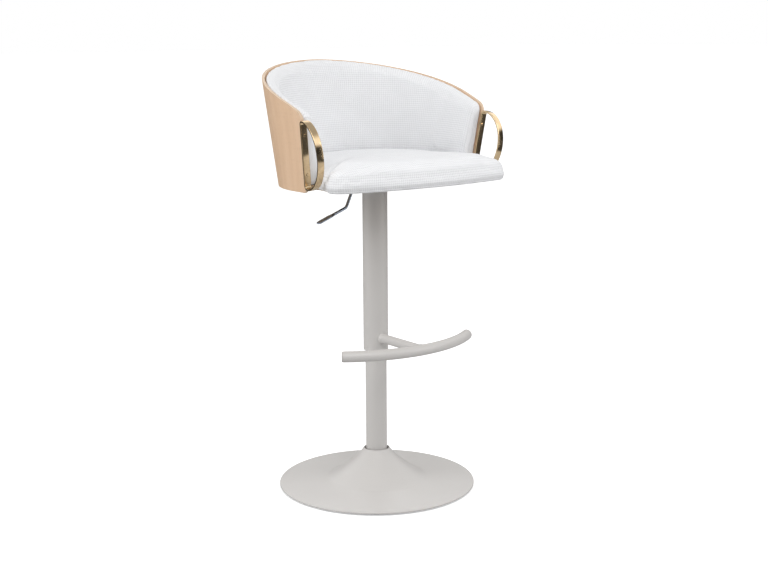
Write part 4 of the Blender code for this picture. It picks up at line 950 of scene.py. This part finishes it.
def makeCushionForm(outline, middle):
    # layers of the outline drawn in towards its middle: a pocket for the board, a rounded lower edge, a
    # slightly full side, a rounded top edge and a low crown 1 - (1 - d)^p
    boardLow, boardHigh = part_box("seat_board")
    low, pocket = boardLow.z + 0.0004, boardHigh.z + 0.0006
    reach = np.linalg.norm(outline - middle, axis=1)
    inward = (middle - outline) / reach[:, None]
    behind = smoothStep(outline[:, 1], *cushion["pocketFrom"])
    foot = low + (pocket - low) * behind
    top = boardLow.z + cushion["sideHeight"]
    sideways = smoothStep(np.abs(outline[:, 0]), 0.140, 0.215) * smoothStep(-outline[:, 1], 0.06, 0.10)
    rt, rb = cushion["topRound"] + cushion["shoulderDrop"] * sideways, cushion["bottomRound"]
    shoulder = rt * cushion["topReach"] + cushion["shoulder"] * sideways
    c = np.linspace(0, np.pi / 2, 10)
    inset = np.full_like(foot, cushion["inset"] - 0.0008)
    rows = [(reach * 0.96, pocket + 0 * foot), (reach * 0.5, pocket + 0 * foot), (inset, pocket + 0 * foot),
            (inset, foot)]
    rows += [(rb - rb * math.sin(t) + 0 * foot, foot + rb - rb * math.cos(t)) for t in c]
    rows += [(-0.0015 * math.sin(math.pi * t) + 0 * foot, foot + rb + (top - rt - foot - rb) * t)
             for t in np.linspace(0, 1, 10)[1:-1]]
    rows += [(shoulder * (1 - math.cos(t)), top - rt + rt * math.sin(t)) for t in c]
    for t in np.linspace(0, 1, 16)[1:]:
        draw = shoulder + (reach * 0.97 - shoulder) * t
        crown = cushion["crown"] * (1 - (1 - draw / reach) ** cushion["crownPower"])
        rows.append((draw, top + crown + 0 * foot))
    grid = np.stack([np.concatenate([outline + inward * draw[:, None], (z + 0 * draw)[:, None]], axis=-1)
                     for draw, z in rows])
    return surface("cushionForm", grid)


def creaseShare(points):
    # a fold that runs inwards from each arm: exp(-(d / width)^2) of the distance d to its line, fading
    # along the line from 1 to 0
    start, end = np.array(cushion["creaseFrom"]), np.array(cushion["creaseTo"])
    fromStart = np.stack([np.abs(points[:, 0]), points[:, 1]], axis=-1) - start
    length = np.linalg.norm(end - start)
    along = fromStart @ (end - start) / length
    off = fromStart - np.clip(along, 0, length)[:, None] * (end - start) / length
    width = cushion["creaseWidth"] * (1 + along.clip(0) / length)
    return np.exp(-np.sum(off ** 2, axis=1) / width ** 2) * (1 - smoothStep(along, 0.2 * length, length))


def makeCushion():
    outline, length = cushionOutline(320)
    middle = np.array([0.0, (outline[:, 1].min() + outline[:, 1].max()) / 2])
    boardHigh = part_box("seat_board")[1].z
    form = makeCushionForm(outline, middle)
    piece = inflated(form, "seatCushionCover", cushion, lambda p: p[:, 2] < boardHigh + 0.004)
    mesh = piece.data
    points, normals = meshPoints(mesh), vectors(mesh.vertex_normals, "vector")
    side = 1 - smoothStep(np.abs(normals[:, 2]), 0.45, 0.80)
    up = points[:, 2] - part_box("seat_board")[0].z
    line = np.exp(-((up - cushion["seamUp"]) / cushion["seamWidth"]) ** 2) * side * (points[:, 1] < -0.06)
    points = points - normals * (line * cushion["seamDepth"])[:, None]
    fold = creaseShare(points) * (up > 0.022)
    points[:, 2] -= fold * cushion["creaseDepth"]
    setPoints(mesh, points)
    angle = np.arctan2(outline[:, 0], -(outline[:, 1] - middle[1]))
    order = np.argsort(angle)
    distance = (np.arange(len(outline)) + len(outline) / 2) % len(outline) - len(outline) / 2
    arc = np.interp(np.arctan2(points[:, 0], -(points[:, 1] - middle[1])), angle[order],
                    (distance * length / len(outline))[order])
    writeField(mesh, "weavePlace", np.stack([arc, up, side], axis=-1))
    # painted shade in the seam groove and, more softly, in the fold
    writeField(mesh, "paintedCreaseShade", np.stack([0.5 * line + 0.35 * fold, 0 * line, 0 * line], axis=-1))
    return piece


pad = place(makeBackPad(), "seat", "white_weave", "back_pad")
print("back pad made")
seat = place(makeCushion(), "seat", "white_weave", "seat_cushion", finish="seatWeave")
print("cushion made")

# floor, light and camera

studio = {"floor": 60.0, "seen": 0.95, "bounce": 0.47, "sheetBounce": 0.57, "darkBounce": 0.03, "glow": 0.40,
          "sheet": 2.2, "low": 0.45, "high": 0.96, "screen": 0.03, "box": 1.5, "boxFrom": (0.30, 0.42),
          "boxFade": (0.62, 0.80), "boxTop": 0.35}
# each panel: where it stands, the height it faces on the column, its size and its power
panels = {"keyPanel": ((-1.00, -1.90, 2.50), 0.6, (1.6, 1.6), 23.0),
          "leftPanel": ((-2.40, 0.77, 1.30), 0.7, (1.2, 1.8), 24.0),
          "rightPanel": ((1.46, -2.07, 1.20), 0.6, (1.2, 1.8), 14.0)}


def makeFloor():
    half = studio["floor"]
    mesh = bpy.data.meshes.new("floor")
    corners = [(x * half, y * half, -0.0002) for x, y in ((-1, -1), (1, -1), (1, 1), (-1, 1))]
    mesh.from_pydata(corners, [], [(0, 1, 2, 3)])
    floor = added("floor", mesh)
    # a white sweep where it is seen, duller in what it throws back; in mirrors a sheet on a dark floor
    material, tree, shader = newMaterial("paleFloor", (0.9, 0.9, 0.9), 0.9)
    shader.inputs["Emission Strength"].default_value = 1.0
    rays = tree.nodes.new("ShaderNodeLightPath")
    away = tree.nodes.new("ShaderNodeVectorMath")
    away.operation = "LENGTH"
    feed(tree, away.inputs[0], objectPlace(tree))
    mirrored = between(tree, away.outputs["Value"], studio["sheet"], studio["sheet"] + 0.3,
                       studio["sheetBounce"] - studio["bounce"], studio["darkBounce"] - studio["bounce"])
    thrown = sums(tree, "MULTIPLY_ADD", rays.outputs["Is Glossy Ray"], mirrored, studio["bounce"])
    seen = rays.outputs["Is Camera Ray"]
    feed(tree, shader.inputs["Base Color"], blendColours(tree, seen, thrown, (studio["seen"],) * 3))
    feed(tree, shader.inputs["Emission Color"], blendColours(tree, seen, (0.0,) * 3, (studio["glow"],) * 3))
    mesh.materials.append(material)


def makeLamp(name, spot, aim, size, power):
    light = bpy.data.lights.new(name, "AREA")
    light.shape = "RECTANGLE"
    light.size, light.size_y = size
    light.energy = power
    lamp = added(name, light)
    lamp.location = spot
    lamp.rotation_euler = (Vector(aim) - Vector(spot)).to_track_quat("-Z", "Y").to_euler()


def makeSky():
    # plain white where it is seen, a soft studio for light, and for reflections a bright ceiling panel over
    # dark walls
    world = bpy.data.worlds.new("studio")
    bpy.context.scene.world = world
    world.use_nodes = True
    tree = world.node_tree
    tree.nodes.clear()
    way = tree.nodes.new("ShaderNodeTexCoord").outputs["Generated"]
    rise = axes(tree, way)["Z"]
    soft = between(tree, rise, 0.0, 0.9, studio["low"], studio["high"])
    fade = between(tree, rise, *studio["boxFade"], 1.0, studio["boxTop"])
    box = sums(tree, "MULTIPLY", between(tree, rise, *studio["boxFrom"]), fade)
    glossy = sums(tree, "MULTIPLY_ADD", box, studio["box"], studio["screen"])
    rays = tree.nodes.new("ShaderNodeLightPath").outputs
    strength = tree.nodes.new("ShaderNodeMix")
    for label, value in (("Factor", rays["Is Glossy Ray"]), ("A", soft), ("B", glossy)):
        feed(tree, strength.inputs[label], value)
    light = tree.nodes.new("ShaderNodeBackground")
    feed(tree, light.inputs["Strength"], strength.outputs["Result"])
    seen = tree.nodes.new("ShaderNodeBackground")
    seen.inputs["Strength"].default_value = 1.0
    for node in (light, seen):
        node.inputs["Color"].default_value = (1, 1, 1, 1)
    mix = tree.nodes.new("ShaderNodeMixShader")
    for socket, value in zip(mix.inputs, (rays["Is Camera Ray"], light.outputs[0], seen.outputs[0])):
        feed(tree, socket, value)
    feed(tree, tree.nodes.new("ShaderNodeOutputWorld").inputs[0], mix.outputs[0])


view = {"distance": 3.0324, "height": 1.0470, "turn": 0.63411, "down": 0.18950, "tilt": 0.007413,
        "lens": 63.168, "shift": 0.01111}


def makeCamera():
    # turned about the column, looking a little down, with a slight tilt
    turn, down, tilt = view["turn"], view["down"], view["tilt"]
    ahead = Vector((math.sin(turn) * math.cos(down), math.cos(turn) * math.cos(down), -math.sin(down)))
    right = Vector((math.cos(turn), -math.sin(turn), 0))
    up = right.cross(ahead)
    across = right * math.cos(tilt) - up * math.sin(tilt)
    above = right * math.sin(tilt) + up * math.cos(tilt)
    data = bpy.data.cameras.new("camera")
    data.sensor_width = 36.0
    data.lens = view["lens"]
    data.shift_x = view["shift"]
    camera = added("camera", data)
    spot = Vector((-math.sin(turn) * view["distance"], -math.cos(turn) * view["distance"], view["height"]))
    camera.matrix_world = Matrix.Translation(spot) @ Matrix((across, above, -ahead)).transposed().to_4x4()
    bpy.context.scene.camera = camera


makeFloor()
makeSky()
for name, (spot, height, size, power) in panels.items():
    makeLamp(name, spot, (0, 0, height), size, power)
makeCamera()
bpy.context.scene.view_settings.view_transform = "Standard"
print("studio made")
